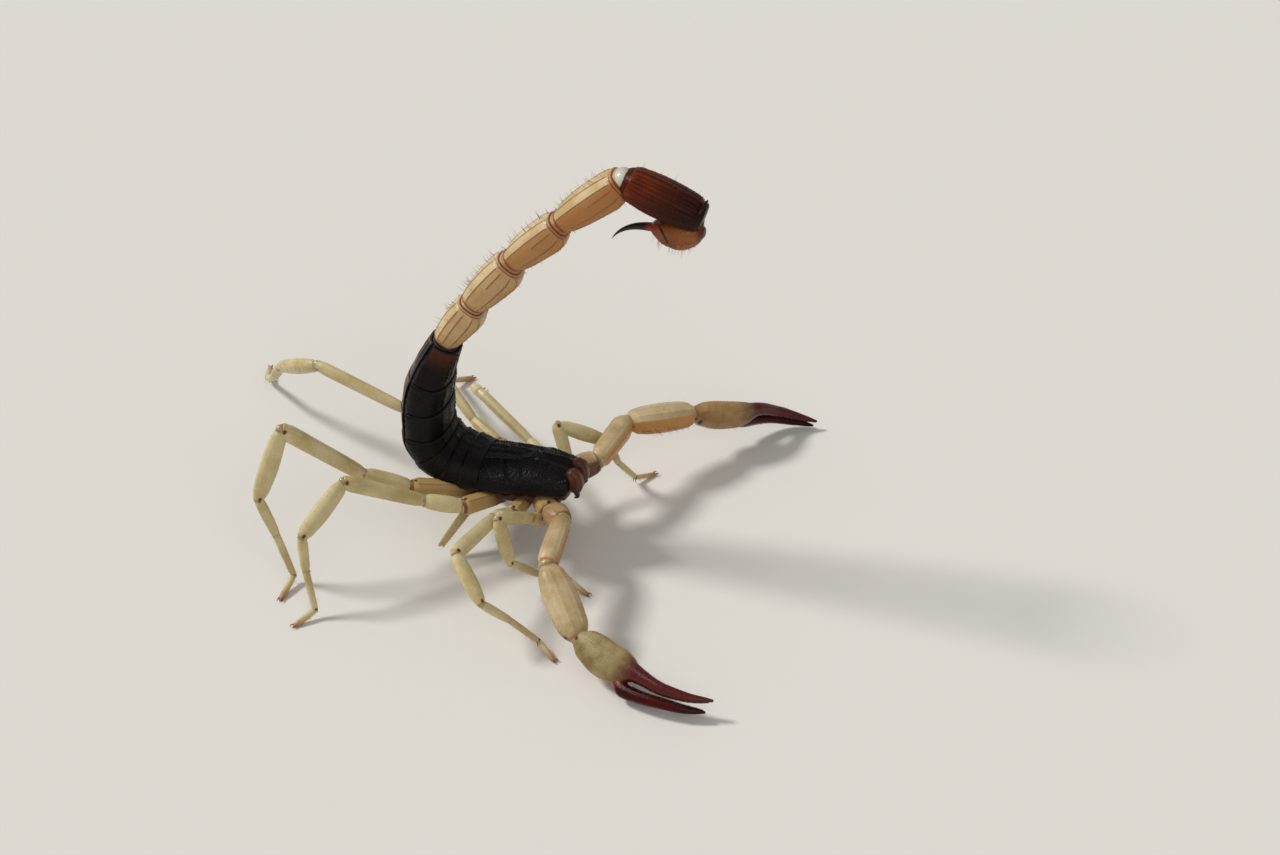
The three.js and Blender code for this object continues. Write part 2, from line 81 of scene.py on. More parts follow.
# (swing, pitch) of trochanter to basitarsus, and the swing of the telotarsus
LEG_POSES = {
    "right_1": [(102, 42), (126, 26), (6, -76), (-32, -35), (-20, -15), 20],
    "right_2": [(115, 22), (99, 8), (44, -25), (-31, -43), (-14, -42), 31],
    "right_3": [(154, 17), (148, 26), (116, -31), (57, -76), (40, -69), 126],
    "right_4": [(160, 21), (148, 42), (121, -64), (-7, -70), (0, -72), 95],
    "left_1": [(97, -17), (134, 55), (20, -24), (40, -68), (41, -52), 51],
    "left_2": [(135, 2), (152, 18), (116, -32), (107, -41), (107, -41), 100],
    "left_3": [(150, 11), (144, 23), (89, -56), (101, -35), (101, -35), 55],
    "left_4": [(171, 5), (171, 13), (150, -29), (129, -48), (124, -35), 107],
}
PALP_BASE = (11.2, 4.4, 8.5)
# length, swing, pitch of trochanter, femur, patella, hand, fingers
PALP_POSES = {
    "right": [(3.6, 44, 14), (9.2, 84, 0), (10.3, 48, -27), (8.6, 24, -12), (10.8, 9, -3.2)],
    "left": [(3.6, 34, 13), (8.8, 82, 2), (10.5, 48, -12.3), (8.4, 39, -19), (10.8, 38, -20.5)],
}
HAND_TILT = {"right": 48, "left": 66}
TIP_SPREAD = {"right": 0.75, "left": 0.45}
FINGER_BOW = 1.3
COXA_ROOTS = [(9.2, 1.3, 8), (7.4, 1.4, 7.9), (4.6, 1.7, 7.9), (2, 2, 8.1)]
PALP_COXA_ROOT, PALP_COXA_GIRTH = (8.6, 1.6, 8.6), 1.2
SIDES = {"right": -1, "left": 1}
X, Y, Z = np.eye(3)


def unit(v):
    """A vector, or each of a row of vectors, at length 1."""
    return v / np.linalg.norm(v, axis=-1, keepdims=True)


def direction(turn, rise):
    """The unit vector at an azimuth and a height, in degrees."""
    turn, rise = math.radians(turn), math.radians(rise)
    return np.array([math.cos(rise) * math.cos(turn), math.cos(rise) * math.sin(turn), math.sin(rise)])


def backward(heading):
    return direction(180, heading)


def mirrored(point, sign):
    return np.asarray(point, float) * (1, sign, 1)


def chain(start, steps):
    """The joints from a start over some steps, each a vector."""
    return list(np.cumsum([start, *steps], axis=0))


def prosoma_point(share, y, z):
    return np.array([CARAPACE_REAR[0] + share * CARAPACE_LENGTH, y, z + share * HEAD_RISE])


def eye_center(sign):
    return prosoma_point(EYE_SHARE, sign * EYE_SPREAD, MARGIN_HEIGHT + EYE_HEIGHT)


# The shift from the layout to the frame, from where the frame has an eye.
low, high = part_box("eye_right")
MM = 0.001
SHIFT = np.array((low + high) / 2) / MM - eye_center(-1)

# ---- curves and relief ----


def smooth(rows, shares):
    """The values of rows [share, a, b, ...] at some shares, on curves that never overshoot a row."""
    table = np.array(rows, float)
    x, y = table[:, 0], table[:, 1:]
    step = np.diff(x)[:, None]
    slope = np.diff(y, axis=0) / step
    product, total = slope[:-1] * slope[1:], slope[:-1] + slope[1:]
    middle = np.where(product > 0, 2 * product / np.where(product > 0, total, 1), 0)
    tangent = np.concatenate([slope[:1], middle, slope[-1:]])
    s = np.clip(shares, x[0], x[-1])
    i = np.clip(np.searchsorted(x, s, side="right") - 1, 0, len(x) - 2)
    h = step[i]
    t = ((s - x[i]) / h[..., 0])[..., None]
    first = (1 + 2 * t) * (1 - t) ** 2 * y[i] + t * (1 - t) ** 2 * h * tangent[i]
    return first + t * t * (3 - 2 * t) * y[i + 1] + t * t * (t - 1) * h * tangent[i + 1]


def ease(x, start, end):
    """0 before start, 1 after end, and smooth between; start may be the larger."""
    t = np.clip((x - start) / (end - start), 0, 1)
    return t * t * (3 - 2 * t)


def fade(start, end, most=1):
    """A mark that grows from nothing at one share to the most at another."""
    return lambda s, a: most * ease(s, start, end)


def band(x, start, end, soft):
    return ease(x, start - soft, start + soft) * ease(x, end + soft, end - soft)


def bell(x, width):
    return np.exp(-((x / width) ** 2))


def turn_between(a, b):
    """The turn from angle b to angle a, between half a turn back and half a turn on."""
    return (a - b + np.pi) % (2 * np.pi) - np.pi


def hashed(a, b, seed):
    value = np.sin(a * 127.1 + b * 311.7 + seed * 74.7) * 43758.5453
    return value - np.floor(value)


def pebbles(x, y, period, seed=0):
    """Round grains from 0 to 1, one to each unit cell, on a surface whose y wraps round at period."""
    best = np.full(np.shape(x), 9.0)
    for i in (-1, 0, 1):
        for j in (-1, 0, 1):
            a, b = np.floor(x) + i, np.floor(y) + j
            wrapped = np.mod(b, period)
            center_x = a + 0.2 + 0.6 * hashed(a, wrapped, seed)
            center_y = b + 0.2 + 0.6 * hashed(a, wrapped, seed + 1)
            size = 0.28 + 0.26 * hashed(a, wrapped, seed + 2)
            best = np.minimum(best, np.hypot(center_x - x, center_y - y) / size)
    return np.clip(1 - best**2, 0, 1)


# ---- tubes: every limb segment, ring and bulb is a skin round a centre line ----


class Tube:
    """A skin round a centre line. rows are [share, half width, half height above, half height below],
    without the last where both heights are the same. Angles go from the side axis over the up axis."""

    def __init__(self, line, axes, length, rows, power):
        self.line, self.axes, self.length, self.power = line, axes, length, power
        self.rows = [row if len(row) == 4 else (*row, row[2]) for row in rows]

    def at(self, shares, angles, lift=0, squeeze=1, slide=0):
        """Points on the skin, and the outward and onward directions there."""
        side, up, onward = self.axes(shares)
        width, above, below = np.moveaxis(smooth(self.rows, shares), -1, 0)
        c, s = np.cos(angles), np.sin(angles)
        across = np.sign(c) * np.abs(c) ** (2 / self.power)
        height = np.sign(s) * np.abs(s) ** (2 / self.power)
        tall = np.where(s > 0, above, below)
        outward = unit(side * (across * tall)[..., None] + up * (height * width)[..., None])
        point = self.line(shares) + onward * np.asarray(slide)[..., None]
        point = point + side * (across * width * squeeze)[..., None]
        point = point + up * (height * tall * squeeze)[..., None]
        return point + outward * np.asarray(lift * squeeze)[..., None], outward, onward

    def girth(self):
        """The mean distance round the skin."""
        width, above, below = smooth(self.rows, 0.5)
        return math.pi * (width + (above + below) / 2)


def bone(start, end, side, rows, power=2.2):
    """A straight tube from one joint to the next."""
    start, end = np.asarray(start, float), np.asarray(end, float)
    axis = unit(end - start)
    across = unit(side - np.dot(side, axis) * axis)
    up = np.cross(axis, across)

    def line(shares):
        return start + np.asarray(shares)[..., None] * (end - start)

    def axes(shares):
        return tuple(np.broadcast_to(v, (*np.shape(shares), 3)) for v in (across, up, axis))

    return Tube(line, axes, np.linalg.norm(end - start), rows, power)


def bowed(points, side, rows, power=2):
    """A tube along a smooth curve through some points, all in one plane square to side."""
    points = np.array(points, float)
    steps = np.linalg.norm(np.diff(points, axis=0), axis=1)
    knots = np.concatenate([[0], np.cumsum(steps)]) / steps.sum()
    table = np.column_stack([knots, points])

    def line(shares):
        return smooth(table, shares)

    def axes(shares):
        onward = unit(line(np.minimum(shares + 0.02, 1)) - line(np.maximum(shares - 0.02, 0)))
        across = unit(side - (onward @ side)[..., None] * onward)
        return across, np.cross(onward, across), onward

    return Tube(line, axes, steps.sum(), rows, power)


# ---- shapes: the vertices, faces and marks of a piece, gathered body by body ----

MARKS = ("ridge", "rim", "spot", "tip")
CAP_RINGS = 5


class Shape:
    def __init__(self):
        self.vertices, self.quads, self.triangles, self.marks, self.count = [], [], [], [], 0

    def add(self, vertices, quads, triangles, **marks):
        vertices = np.reshape(vertices, (-1, 3))
        values = np.zeros((len(MARKS), len(vertices)), np.float32)
        for mark, value in marks.items():
            values[MARKS.index(mark)] = value
        self.vertices.append(vertices)
        self.quads.append(np.reshape(quads, (-1, 4)).astype(int) + self.count)
        self.triangles.append(np.reshape(triangles, (-1, 3)).astype(int) + self.count)
        self.marks.append(values)
        self.count += len(vertices)


def on_grid(marks, s, a):
    """Marks on a grid; each is given as a number, or as a rule of the s and a."""
    for mark, rule in marks.items():
        grid = rule(s, a) if callable(rule) else rule
        yield mark, np.clip(np.broadcast_to(grid, s.shape), 0, 1)


def skin(shape, tube, rings, sides, relief=None, caps=(0.5, 0.5), span=(0, 1), **marks):
    """A closed body on a tube, with an end dome of each depth in caps."""
    around = 2 * np.pi * np.arange(sides) / sides
    shares, angles = np.meshgrid(np.linspace(*span, rings), around, indexing="ij")
    lift = relief(shares, angles) if relief else 0 * shares
    steps = np.arange(CAP_RINGS, 0, -1) / (CAP_RINGS + 1) * (np.pi / 2)
    turn = np.concatenate([-steps, np.zeros(rings), steps[::-1]])[:, None]
    slide = np.sin(turn) * np.where(turn < 0, *caps)
    rows = np.clip(np.arange(-CAP_RINGS, rings + CAP_RINGS), 0, rings - 1)
    points, _, _ = tube.at(shares[rows], angles[rows], lift[rows], np.cos(turn), slide)
    tips = np.array(span, float)
    hubs = tube.line(tips) + tube.axes(tips)[2] * [[-caps[0]], [caps[1]]]
    index = np.arange(len(rows) * sides).reshape(-1, sides)
    beside = np.roll(index, -1, axis=1)
    quads = np.stack([index[:-1], beside[:-1], beside[1:], index[1:]], -1)
    hub = np.full(sides, index.size)
    fans = [np.stack([beside[0], index[0], hub], -1), np.stack([index[-1], beside[-1], hub + 1], -1)]
    values = {mark: np.append(grid[rows].ravel(), [grid[0].mean(), grid[-1].mean()])
              for mark, grid in on_grid(marks, shares, angles)}
    shape.add(np.concatenate([points.reshape(-1, 3), hubs]), quads, fans, **values)
    return shape


def plate(shape, tube, span, arc, rings, sides, outer, inner, **marks):
    """A curved plate over part of a tube. outer and inner are its two faces' lifts over the skin."""
    around = np.radians(np.linspace(*arc, sides))
    shares, angles = np.meshgrid(np.linspace(*span, rings), around, indexing="ij")
    faces = [tube.at(shares, angles, lift(shares, angles))[0].reshape(-1, 3) for lift in (outer, inner)]
    index = np.arange(rings * sides).reshape(rings, sides)
    a = index[:-1, :-1].ravel()
    top = np.stack([a, a + 1, a + 1 + sides, a + sides], -1)
    loop = np.concatenate([index[0], index[1:, -1], index[-1, -2::-1], index[-2:0:-1, 0]])
    beside = np.roll(loop, -1)
    edge = np.stack([loop, loop + index.size, beside + index.size, beside], -1)
    quads = np.concatenate([top, top[:, ::-1] + index.size, edge])
    values = {mark: np.tile(grid.ravel(), 2) for mark, grid in on_grid(marks, shares, angles)}
    shape.add(np.concatenate(faces), quads, [], **values)
    return shape


def ball(shape, center, radii, axes=(X, Y, Z), rings=10, sides=16):
    """An ellipsoid with its half sizes along three axes."""
    turns = np.linspace(0.12, math.pi - 0.12, rings)
    shares = 0.5 - 0.5 * np.cos(turns)
    rows = [(s, radii[0] * g, radii[1] * g) for s, g in zip(shares, np.sin(turns))]
    reach = radii[2] * axes[2]
    tube = bone(center - reach, center + reach, axes[0], rows, 2)
    skin(shape, tube, rings, sides, caps=(0, 0), span=(shares[0], shares[-1]))


def horn(shape, points, radii, side, rings, sides, **marks):
    """A tapering spike, claw or tooth along a curve."""
    rows = [(s, r, r) for s, r in zip(np.linspace(0, 1, len(radii)), radii)]
    tube = bowed(points, side, rows)
    skin(shape, tube, rings, sides, caps=(0, radii[-1]), **marks)
    return tube


def sleeve(shape, joint, inward, outward, reach, rows, side):
    """A folded membrane across a joint, from one segment's mouth into the next one's."""
    tube = bowed([joint - inward * reach, joint, joint + outward * reach], side, rows)
    # The fold valleys are painted darker with the ridge colour: painted shade in the creases.
    skin(shape, tube, 16, 20, lambda s, a: 0.04 * np.sin(8 * np.pi * s), (0.1, 0.1),
         ridge=lambda s, a: 0.5 - 0.5 * np.sin(8 * np.pi * s))


# ---- ridges, dots and rims on a tube ----


def ridges_on(tube, ridges, tone=1, grain=0, grain_size=0.3, beads=0, extra=None):
    """Relief and a mark for ridges [angle, height, width in degrees, start, end], each a string of some
    beads, over a surface pebbled by grain. extra is relief of the caller's own."""

    def masks(s, a):
        for angle, height, width, start, end in ridges:
            away = turn_between(a, math.radians(angle))
            yield height, bell(away, math.radians(width)) * band(s, start, end, 0.03)

    def swell(s):
        return 0.5 + 0.5 * np.cos(2 * np.pi * beads * s)

    def relief(s, a):
        lift = sum((height * mask for height, mask in masks(s, a)), np.zeros_like(s))
        lift *= 0.5 + 0.5 * swell(s)
        if grain:
            period = max(6, round(tube.girth() / grain_size))
            x, y = s * tube.length / grain_size, a / (2 * np.pi) * period
            lift += grain * pebbles(x, y, period, seed=len(ridges))
        return lift + extra(s, a) if extra else lift

    def mark(s, a):
        best = np.zeros_like(s)
        for _, mask in masks(s, a):
            best = np.maximum(best, mask**1.5)
        return tone * best * (0.7 + 0.3 * swell(s))

    return relief, mark


def dots(tube, places):
    """A mark with soft round dots at places (share, angle, radius)."""

    def rule(s, a):
        best = np.zeros_like(s)
        for share, angle, radius in places:
            along = (s - share) * tube.length
            around = turn_between(a, math.radians(angle)) * tube.girth() / (2 * np.pi)
            best = np.maximum(best, np.exp(-((along**2 + around**2) / radius**2) ** 1.5))
        return best

    return rule


def ends(tube, first, last, most=1):
    """A mark on a rim of each width in millimetres at a tube's two ends; a width of 0 leaves it out."""

    def rule(s, a):
        mark = np.zeros_like(s)
        for width, away in ((first, s), (last, 1 - s)):
            if width:
                mark = np.maximum(mark, bell(away * tube.length, width))
        return most * mark

    return rule


# ---- materials ----


def linear(color):
    """An sRGB colour, 0 to 255, as the linear colour that nodes take."""
    parts = [c / 255 for c in color]
    return (*[c / 12.92 if c <= 0.04045 else ((c + 0.055) / 1.055) ** 2.4 for c in parts], 1)


def fill(node, sockets):
    """Sets a node's sockets, each to a value or to another node's output."""
    for socket, value in sockets.items():
        if isinstance(value, bpy.types.NodeSocket):
            node.id_data.links.new(value, node.inputs[socket])
        else:
            node.inputs[socket].default_value = value


def new_material(name):
    material = bpy.data.materials.new(name)
    material.use_nodes = True
    return material, material.node_tree.nodes["Principled BSDF"]


MATERIALS = {}


def cuticle(name, base, mottle, gloss, ridge=None, rim=None, spot=None, tip=None, blotch=260,
            grain=9000, depth=0.00002, coat=0, soft=0, fleck=0.2, shine=0.3):
    """Arthropod cuticle: two mottled colours, fine grains, and the colours of the four marks."""
    material, shader = new_material(f"{name}_cuticle")
    MATERIALS[name] = material

    def add(kind, output, sockets, **settings):
        node = material.node_tree.nodes.new("ShaderNode" + kind)
        for setting, value in settings.items():
            setattr(node, setting, value)
        fill(node, sockets)
        return node.outputs[output]

    def mark(kind):
        return add("Attribute", "Fac", {}, attribute_name=kind)

    def noise(scale, detail):
        sockets = {"Vector": place, "Scale": scale, "Detail": detail, "Roughness": 0.55}
        return add("TexNoise", "Fac", sockets)

    def spread(value, low_in, high_in, low_out=0, high_out=1):
        sockets = {"Value": value, "From Min": low_in, "From Max": high_in, "To Min": low_out,
                   "To Max": high_out}
        return add("MapRange", "Result", sockets, interpolation_type="SMOOTHSTEP")

    def combine(operation, first, second):
        return add("Math", 0, {0: first, 1: second}, operation=operation)

    def mix(factor, under, over, blend="MIX"):
        return add("Mix", 2, {0: factor, 6: under, 7: over}, data_type="RGBA", blend_type=blend)

    place = add("TexCoord", "Object", {})
    color = mix(spread(noise(blotch, 4), 0.35, 0.68), linear(base), linear(mottle))
    if tip:
        color = mix(mark("tip"), color, linear(tip))
    flecks = spread(add("TexVoronoi", "Distance", {"Vector": place, "Scale": grain}), 0.1, 0.75)
    color = mix(combine("MULTIPLY", flecks, fleck), color, linear((150, 138, 124)), "MULTIPLY")
    for kind, tint, strength in (("ridge", ridge, 0.8), ("rim", rim, 0.9), ("spot", spot, 1)):
        if tint:
            color = mix(spread(combine("MULTIPLY", mark(kind), strength), 0.08, 0.85), color, linear(tint))
    height = combine("SUBTRACT", noise(9000, 2), flecks)
    fill(shader, {
        "Base Color": color,
        "Roughness": spread(noise(2400, 3), 0.3, 0.7, *gloss),
        "Normal": add("Bump", "Normal", {"Strength": 0.55, "Distance": depth, "Height": height}),
        "Specular IOR Level": shine,
        "Coat Weight": coat,
        "Coat Roughness": 0.18,
        "Subsurface Weight": soft,
        "Subsurface Radius": (1, 0.55, 0.25),
        "Subsurface Scale": 0.0006,
    })


UMBER = (58, 24, 12)
cuticle("trunk", (6, 4, 4), (11, 8, 7), (0.26, 0.42), ridge=(16, 10, 9), rim=(14, 8, 7),
        tip=(78, 36, 18), depth=0.00003, coat=0.02, shine=0.16)
cuticle("pleura", (34, 25, 31), (20, 15, 20), (0.32, 0.46), ridge=(66, 54, 66), grain=7000,
        depth=0.00003, shine=0.25)
cuticle("sternite", (52, 34, 26), (34, 22, 17), (0.28, 0.4), ridge=(28, 17, 13), rim=(104, 72, 46),
        spot=(14, 8, 7), coat=0.05)
# The coxae's dark reddish-brown base colour, near the body, is partly painted shade from the trunk above;
# their tip colour is tan.
cuticle("coxa", (92, 44, 20), (66, 30, 14), (0.26, 0.4), ridge=(54, 24, 11), rim=(112, 70, 38),
        spot=UMBER, tip=(186, 154, 96), coat=0.06, soft=0.05)
cuticle("chelicera", (122, 68, 30), (88, 46, 19), (0.24, 0.38), ridge=(46, 18, 8), rim=(56, 20, 11),
        spot=(22, 8, 6), tip=(54, 18, 11), coat=0.06)
cuticle("leg", (212, 197, 149), (188, 168, 114), (0.2, 0.36), ridge=(188, 150, 88), rim=(158, 116, 66),
        spot=(98, 36, 16), tip=(150, 84, 44), coat=0.12, soft=0.2, fleck=0.1, shine=0.35)
# The palp tip colours tint each segment's inner underside: partly own colour, partly painted shade.
cuticle("palp", (208, 186, 144), (178, 152, 104), (0.24, 0.4), ridge=(176, 108, 38), rim=(168, 98, 42),
        spot=(84, 34, 16), tip=(194, 128, 52), coat=0.1, soft=0.14)
cuticle("palp_root", (206, 180, 138), (168, 134, 92), (0.2, 0.36), ridge=(120, 74, 40),
        rim=(120, 72, 38), spot=UMBER, tip=(104, 64, 32), coat=0.15, soft=0.08)
# The hand's ridge colour also tints its inner face, partly as painted shade.
cuticle("hand", (172, 157, 110), (132, 114, 70), (0.22, 0.38), ridge=(174, 106, 42), rim=(150, 84, 38),
        spot=(40, 16, 10), tip=(88, 16, 9), coat=0.1, soft=0.1, blotch=420, fleck=0.4)
cuticle("finger", (76, 9, 6), (48, 6, 4), (0.18, 0.3), ridge=(38, 7, 5), rim=(122, 42, 18),
        spot=(18, 5, 4), tip=(40, 6, 5), coat=0.05, soft=0.04, shine=0.15)
# The tail's tip colour tints the dorsal side of each pale segment: partly its own colour, partly painted
# shade.
cuticle("tail", (220, 197, 150), (200, 170, 116), (0.26, 0.42), ridge=(132, 70, 30), rim=(130, 58, 26),
        spot=(104, 46, 22), tip=(178, 112, 44), coat=0.1, soft=0.1)
cuticle("tail_end", (116, 48, 18), (88, 32, 13), (0.22, 0.36), ridge=(56, 20, 10), rim=(44, 14, 9),
        spot=(24, 8, 6), tip=(42, 13, 7), coat=0.03, soft=0.03, shine=0.1)
# The vesicle's spot colour is used only for a painted shadow line across its near side.
cuticle("vesicle", (162, 92, 34), (128, 62, 22), (0.2, 0.34), ridge=(104, 48, 18), rim=(90, 38, 18),
        spot=(30, 11, 7), tip=(140, 46, 14), coat=0.12, soft=0.1)
cuticle("sting", (22, 8, 6), (12, 5, 4), (0.12, 0.22), rim=(150, 46, 12), coat=0.3)
cuticle("comb", (214, 196, 146), (184, 160, 108), (0.35, 0.5), ridge=(170, 130, 76), rim=(150, 112, 62),
        soft=0.15)
# The membrane's ridge colour is the painted shade in its fold valleys.
cuticle("membrane", (190, 176, 130), (162, 142, 96), (0.14, 0.28), ridge=(146, 112, 68), coat=0.35,
        soft=0.2, fleck=0.1, shine=0.45)
cuticle("tail_membrane", (216, 214, 200), (188, 180, 156), (0.12, 0.26), ridge=(176, 160, 128), coat=0.4,
        soft=0.25, fleck=0.1, shine=0.5)
cuticle("eye", (8, 7, 8), (14, 10, 9), (0.04, 0.08), coat=1, depth=0.000004)
cuticle("claw", (172, 112, 60), (132, 76, 38), (0.2, 0.3), tip=(84, 34, 16), coat=0.1)
cuticle("bristle", (136, 74, 36), (104, 52, 24), (0.3, 0.45), tip=(178, 112, 60))
cuticle("hair", (206, 168, 118), (176, 132, 86), (0.3, 0.45), tip=(232, 204, 164))

# ---- making objects ----


def link(name, data):
    """A new object in the scene."""
    item = bpy.data.objects.new(name, data)
    bpy.context.scene.collection.objects.link(item)
    return item


def make_object(node, shape, look, name=None):
    """One piece from a shape, riding on the root, in place of the solid of a node, if one is given. It has
    the node's name, if no other name is given, and the material of its look."""
    name = name or node
    mesh = bpy.data.meshes.new(name)
    vertices = (np.concatenate(shape.vertices) + SHIFT) * MM
    vertices[:, 2] = np.maximum(vertices[:, 2], 0)
    quads, triangles = np.concatenate(shape.quads), np.concatenate(shape.triangles)
    corners = np.concatenate([quads.ravel(), triangles.ravel()])
    starts = np.concatenate([4 * np.arange(len(quads)), quads.size + 3 * np.arange(len(triangles))])
    mesh.vertices.add(len(vertices))
    mesh.vertices.foreach_set("co", vertices.astype(np.float32).ravel())
    mesh.loops.add(len(corners))
    mesh.loops.foreach_set("vertex_index", corners.astype(np.int32))
    mesh.polygons.add(len(starts))
    mesh.polygons.foreach_set("loop_start", starts.astype(np.int32))
    mesh.update(calc_edges=True)
    mesh.validate()
    mesh.shade_smooth()
    for mark, values in zip(MARKS, np.concatenate(shape.marks, axis=1)):
        mesh.attributes.new(mark, "FLOAT", "POINT").data.foreach_set("value", values)
    mesh.materials.append(MATERIALS[look])
    piece = link(name, mesh)
    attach(piece, "root")
    if node:
        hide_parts(node)
    return piece


class Coat:
    """Hairs on one part of the body, as one mesh of thin bent cones. Each skin that they grow on has a
    cell of its own in the unwrap, where a hair is a small patch at its root's place."""

    PATCH = 0.003

    def __init__(self, cells=8):
        self.cells, self.skins, self.grown = cells, 0, []

    def grow(self, tube, count, shares, angles, length, radius=0.03, lean=0.5, droop=0, relief=None):
        """Hairs at random places between two shares and two angles, leaning onward by lean."""
        s = rng.uniform(*shares, count)
        a = np.radians(rng.uniform(*angles, count))
        root, outward, onward = tube.at(s, a, (relief(s, a) if relief else 0) - radius)
        half = length / 2 * rng.uniform(0.7, 1.2, count)[:, None]
        start = unit(outward + lean * onward + rng.normal(0, 0.1, (count, 3)))
        middle = root + start * half
        tip = middle + unit(start + 0.6 * lean * onward - droop * Z) * half
        cell = np.array([self.skins % self.cells, self.skins // self.cells])
        place = (cell + 0.05 + 0.9 * np.stack([s, a % (2 * np.pi) / (2 * np.pi)], -1)) / self.cells
        self.skins += 1
        self.grown.append((root, middle, tip, start, place, np.full((count, 1), radius)))

    def make(self, name, look, slot):
        root, middle, tip, start, place, radius = (np.concatenate(parts) for parts in zip(*self.grown))
        aside = unit(np.cross(start, Z + 0.3 * X))
        turns = 2 * np.pi * np.arange(3)[:, None] / 3
        ring = aside[:, None] * np.cos(turns) + np.cross(start, aside)[:, None] * np.sin(turns)
        ring = ring * radius[:, None]
        vertices = np.concatenate([root[:, None] + ring, middle[:, None] + 0.75 * ring, tip[:, None]], 1)
        patch = [(k / 3 - 0.5, level / 2 - 0.5) for level in (0, 1) for k in range(3)] + [(0, 0.5)]
        patches = (place[:, None] + self.PATCH * np.array(patch)).reshape(-1, 2)
        first = 7 * np.arange(len(root))[:, None, None]
        quads = [[k, (k + 1) % 3, 3 + (k + 1) % 3, 3 + k] for k in range(3)]
        fans = [[3 + k, 3 + (k + 1) % 3, 6] for k in range(3)] + [[2, 1, 0]]
        along = np.tile([0, 0, 0, 0.4, 0.4, 0.4, 1], len(root))
        shape = Shape()
        shape.add(vertices, first + np.array(quads), first + np.array(fans), tip=along)
        mesh = make_object(None, shape, look, name).data
        index = np.empty(len(mesh.loops), np.int32)
        mesh.loops.foreach_get("vertex_index", index)
        uv = patches[index].astype(np.float32)
        mesh.uv_layers.new(name="OFBake").data.foreach_set("uv", uv.ravel())


# ---- grains set on a skin ----


def studs(shape, tube, shares, angles, radius, height, relief=None, sides=6, mark="ridge", tone=1):
    """Small domes standing on a tube. angles are in degrees."""
    shares, angles = np.broadcast_arrays(np.asarray(shares, float), np.radians(angles))
    radius, height = (np.broadcast_to(size, shares.shape)[:, None, None] for size in (radius, height))
    lift = relief(shares, angles) if relief else 0
    root, outward, onward = (v[:, None] for v in tube.at(shares, angles, lift))
    turns = 2 * np.pi * np.arange(sides)[:, None] / sides
    around = onward * np.cos(turns) + np.cross(outward, onward) * np.sin(turns)
    levels = [root + around * radius * spread + outward * height * rise
              for spread, rise in ((1, -0.4), (0.85, 0.35), (0.45, 0.85))]
    vertices = np.concatenate([*levels, root + outward * height, root - outward * height * 0.6], 1)
    quads, fans = [], []
    for k in range(sides):
        n = (k + 1) % sides
        quads += [[level + k, level + n, level + sides + n, level + sides + k] for level in (0, sides)]
        fans += [[2 * sides + k, 2 * sides + n, 3 * sides], [n, k, 3 * sides + 1]]
    first = (3 * sides + 2) * np.arange(len(shares))[:, None, None]
    shape.add(vertices, first + np.array(quads), first + np.array(fans), **{mark: tone})


def stud_rows(shape, tube, ridges, pitch, radius, height, relief=None, wander=0, tone=1):
    """Grains along ridges [angle, height, width, start, end] of a tube, a pitch apart."""
    for angle, _, _, start, end in ridges:
        count = max(2, int((end - start) * tube.length / pitch))
        shares = np.linspace(start, end, count) + rng.normal(0, 0.12 * pitch / tube.length, count)
        angles = angle + rng.normal(0, wander, count)
        size = rng.uniform(0.75, 1.15, count)
        studs(shape, tube, shares, angles, radius * size, height * size, relief, tone=tone)


def scatter(shape, tube, count, span, arc, radius, height, relief=None, tone=1):
    """Grains at random places between two shares and two angles of a tube."""
    size = rng.uniform(0.6, 1.2, count)
    shares, angles = rng.uniform(*span, count), rng.uniform(*arc, count)
    studs(shape, tube, shares, angles, radius * size, height * size, relief, tone=tone)


# ---- prosoma: carapace, eyes, chelicerae, coxae and sternum ----

CARAPACE_ROWS = [
    (0, 4.5, 2.75, 0.3), (0.3, 4.6, 2.95, 0.3), (0.6, 4.25, 3, 0.3), (0.85, 3.95, 2.5, 0.3),
    (0.95, 3.65, 2.1, 0.3), (1, 3.45, 1.82, 0.3),
]
# lines of grains on one half of the carapace, as [share, distance from the midline]
CARAPACE_LINES = [
    [(0.47, 0.72), (0.6, 0.72), (0.7, 0.86), (0.96, 1.2)],
    [(0.02, 1.7), (0.16, 1.45), (0.28, 1.35), (0.42, 1.3), (0.5, 0.95)],
    [(0.3, 2.45), (0.48, 2.5), (0.62, 2.15)],
    [(0.03, 3.2), (0.13, 3), (0.24, 2.9)],
    [(0.66, 3.1), (0.78, 2.7), (0.9, 2.2)],
]
LATERAL_EYES = [(0.975, 2.55, 0.16), (0.95, 2.78, 0.16), (0.92, 2.98, 0.14), (0.905, 3.14, 0.1)]
carapace = bone(prosoma_point(0, 0, MARGIN_HEIGHT), prosoma_point(1, 0, MARGIN_HEIGHT), Y, CARAPACE_ROWS)


def carapace_relief(s, a):
    width = smooth(CARAPACE_ROWS, s)[..., 0]
    y = np.abs(np.cos(a)) ** (2 / carapace.power) * width
    lift = np.zeros_like(s)
    for line in CARAPACE_LINES:
        places, spreads = zip(*line)
        along = band(s, places[0], places[-1], 0.03)
        lift += 0.13 * bell(y - np.interp(s, places, spreads), 0.26) * along
    lift -= 0.2 * bell(y, 0.3) * (band(s, -0.1, 0.44, 0.04) + band(s, 0.72, 1.1, 0.04))
    lift += 0.3 * np.exp(-((y / 0.75) ** 2 + ((s - EYE_SHARE) / 0.085) ** 2) ** 2)
    lift -= 0.16 * bell(s - 0.18 - 0.05 * y, 0.022) * ease(y, 0.5, 1.6)
    lift -= 0.12 * bell(s - 0.42 - 0.03 * y, 0.025) * ease(y, 1.2, 2.4)
    period = round(carapace.girth() / 0.4)
    lift += 0.05 * pebbles(s * CARAPACE_LENGTH / 0.4, a / (2 * np.pi) * period, period)
    return lift * ease(np.sin(a), 0, 0.25) + 0.12 * bell(np.sin(a), 0.1)


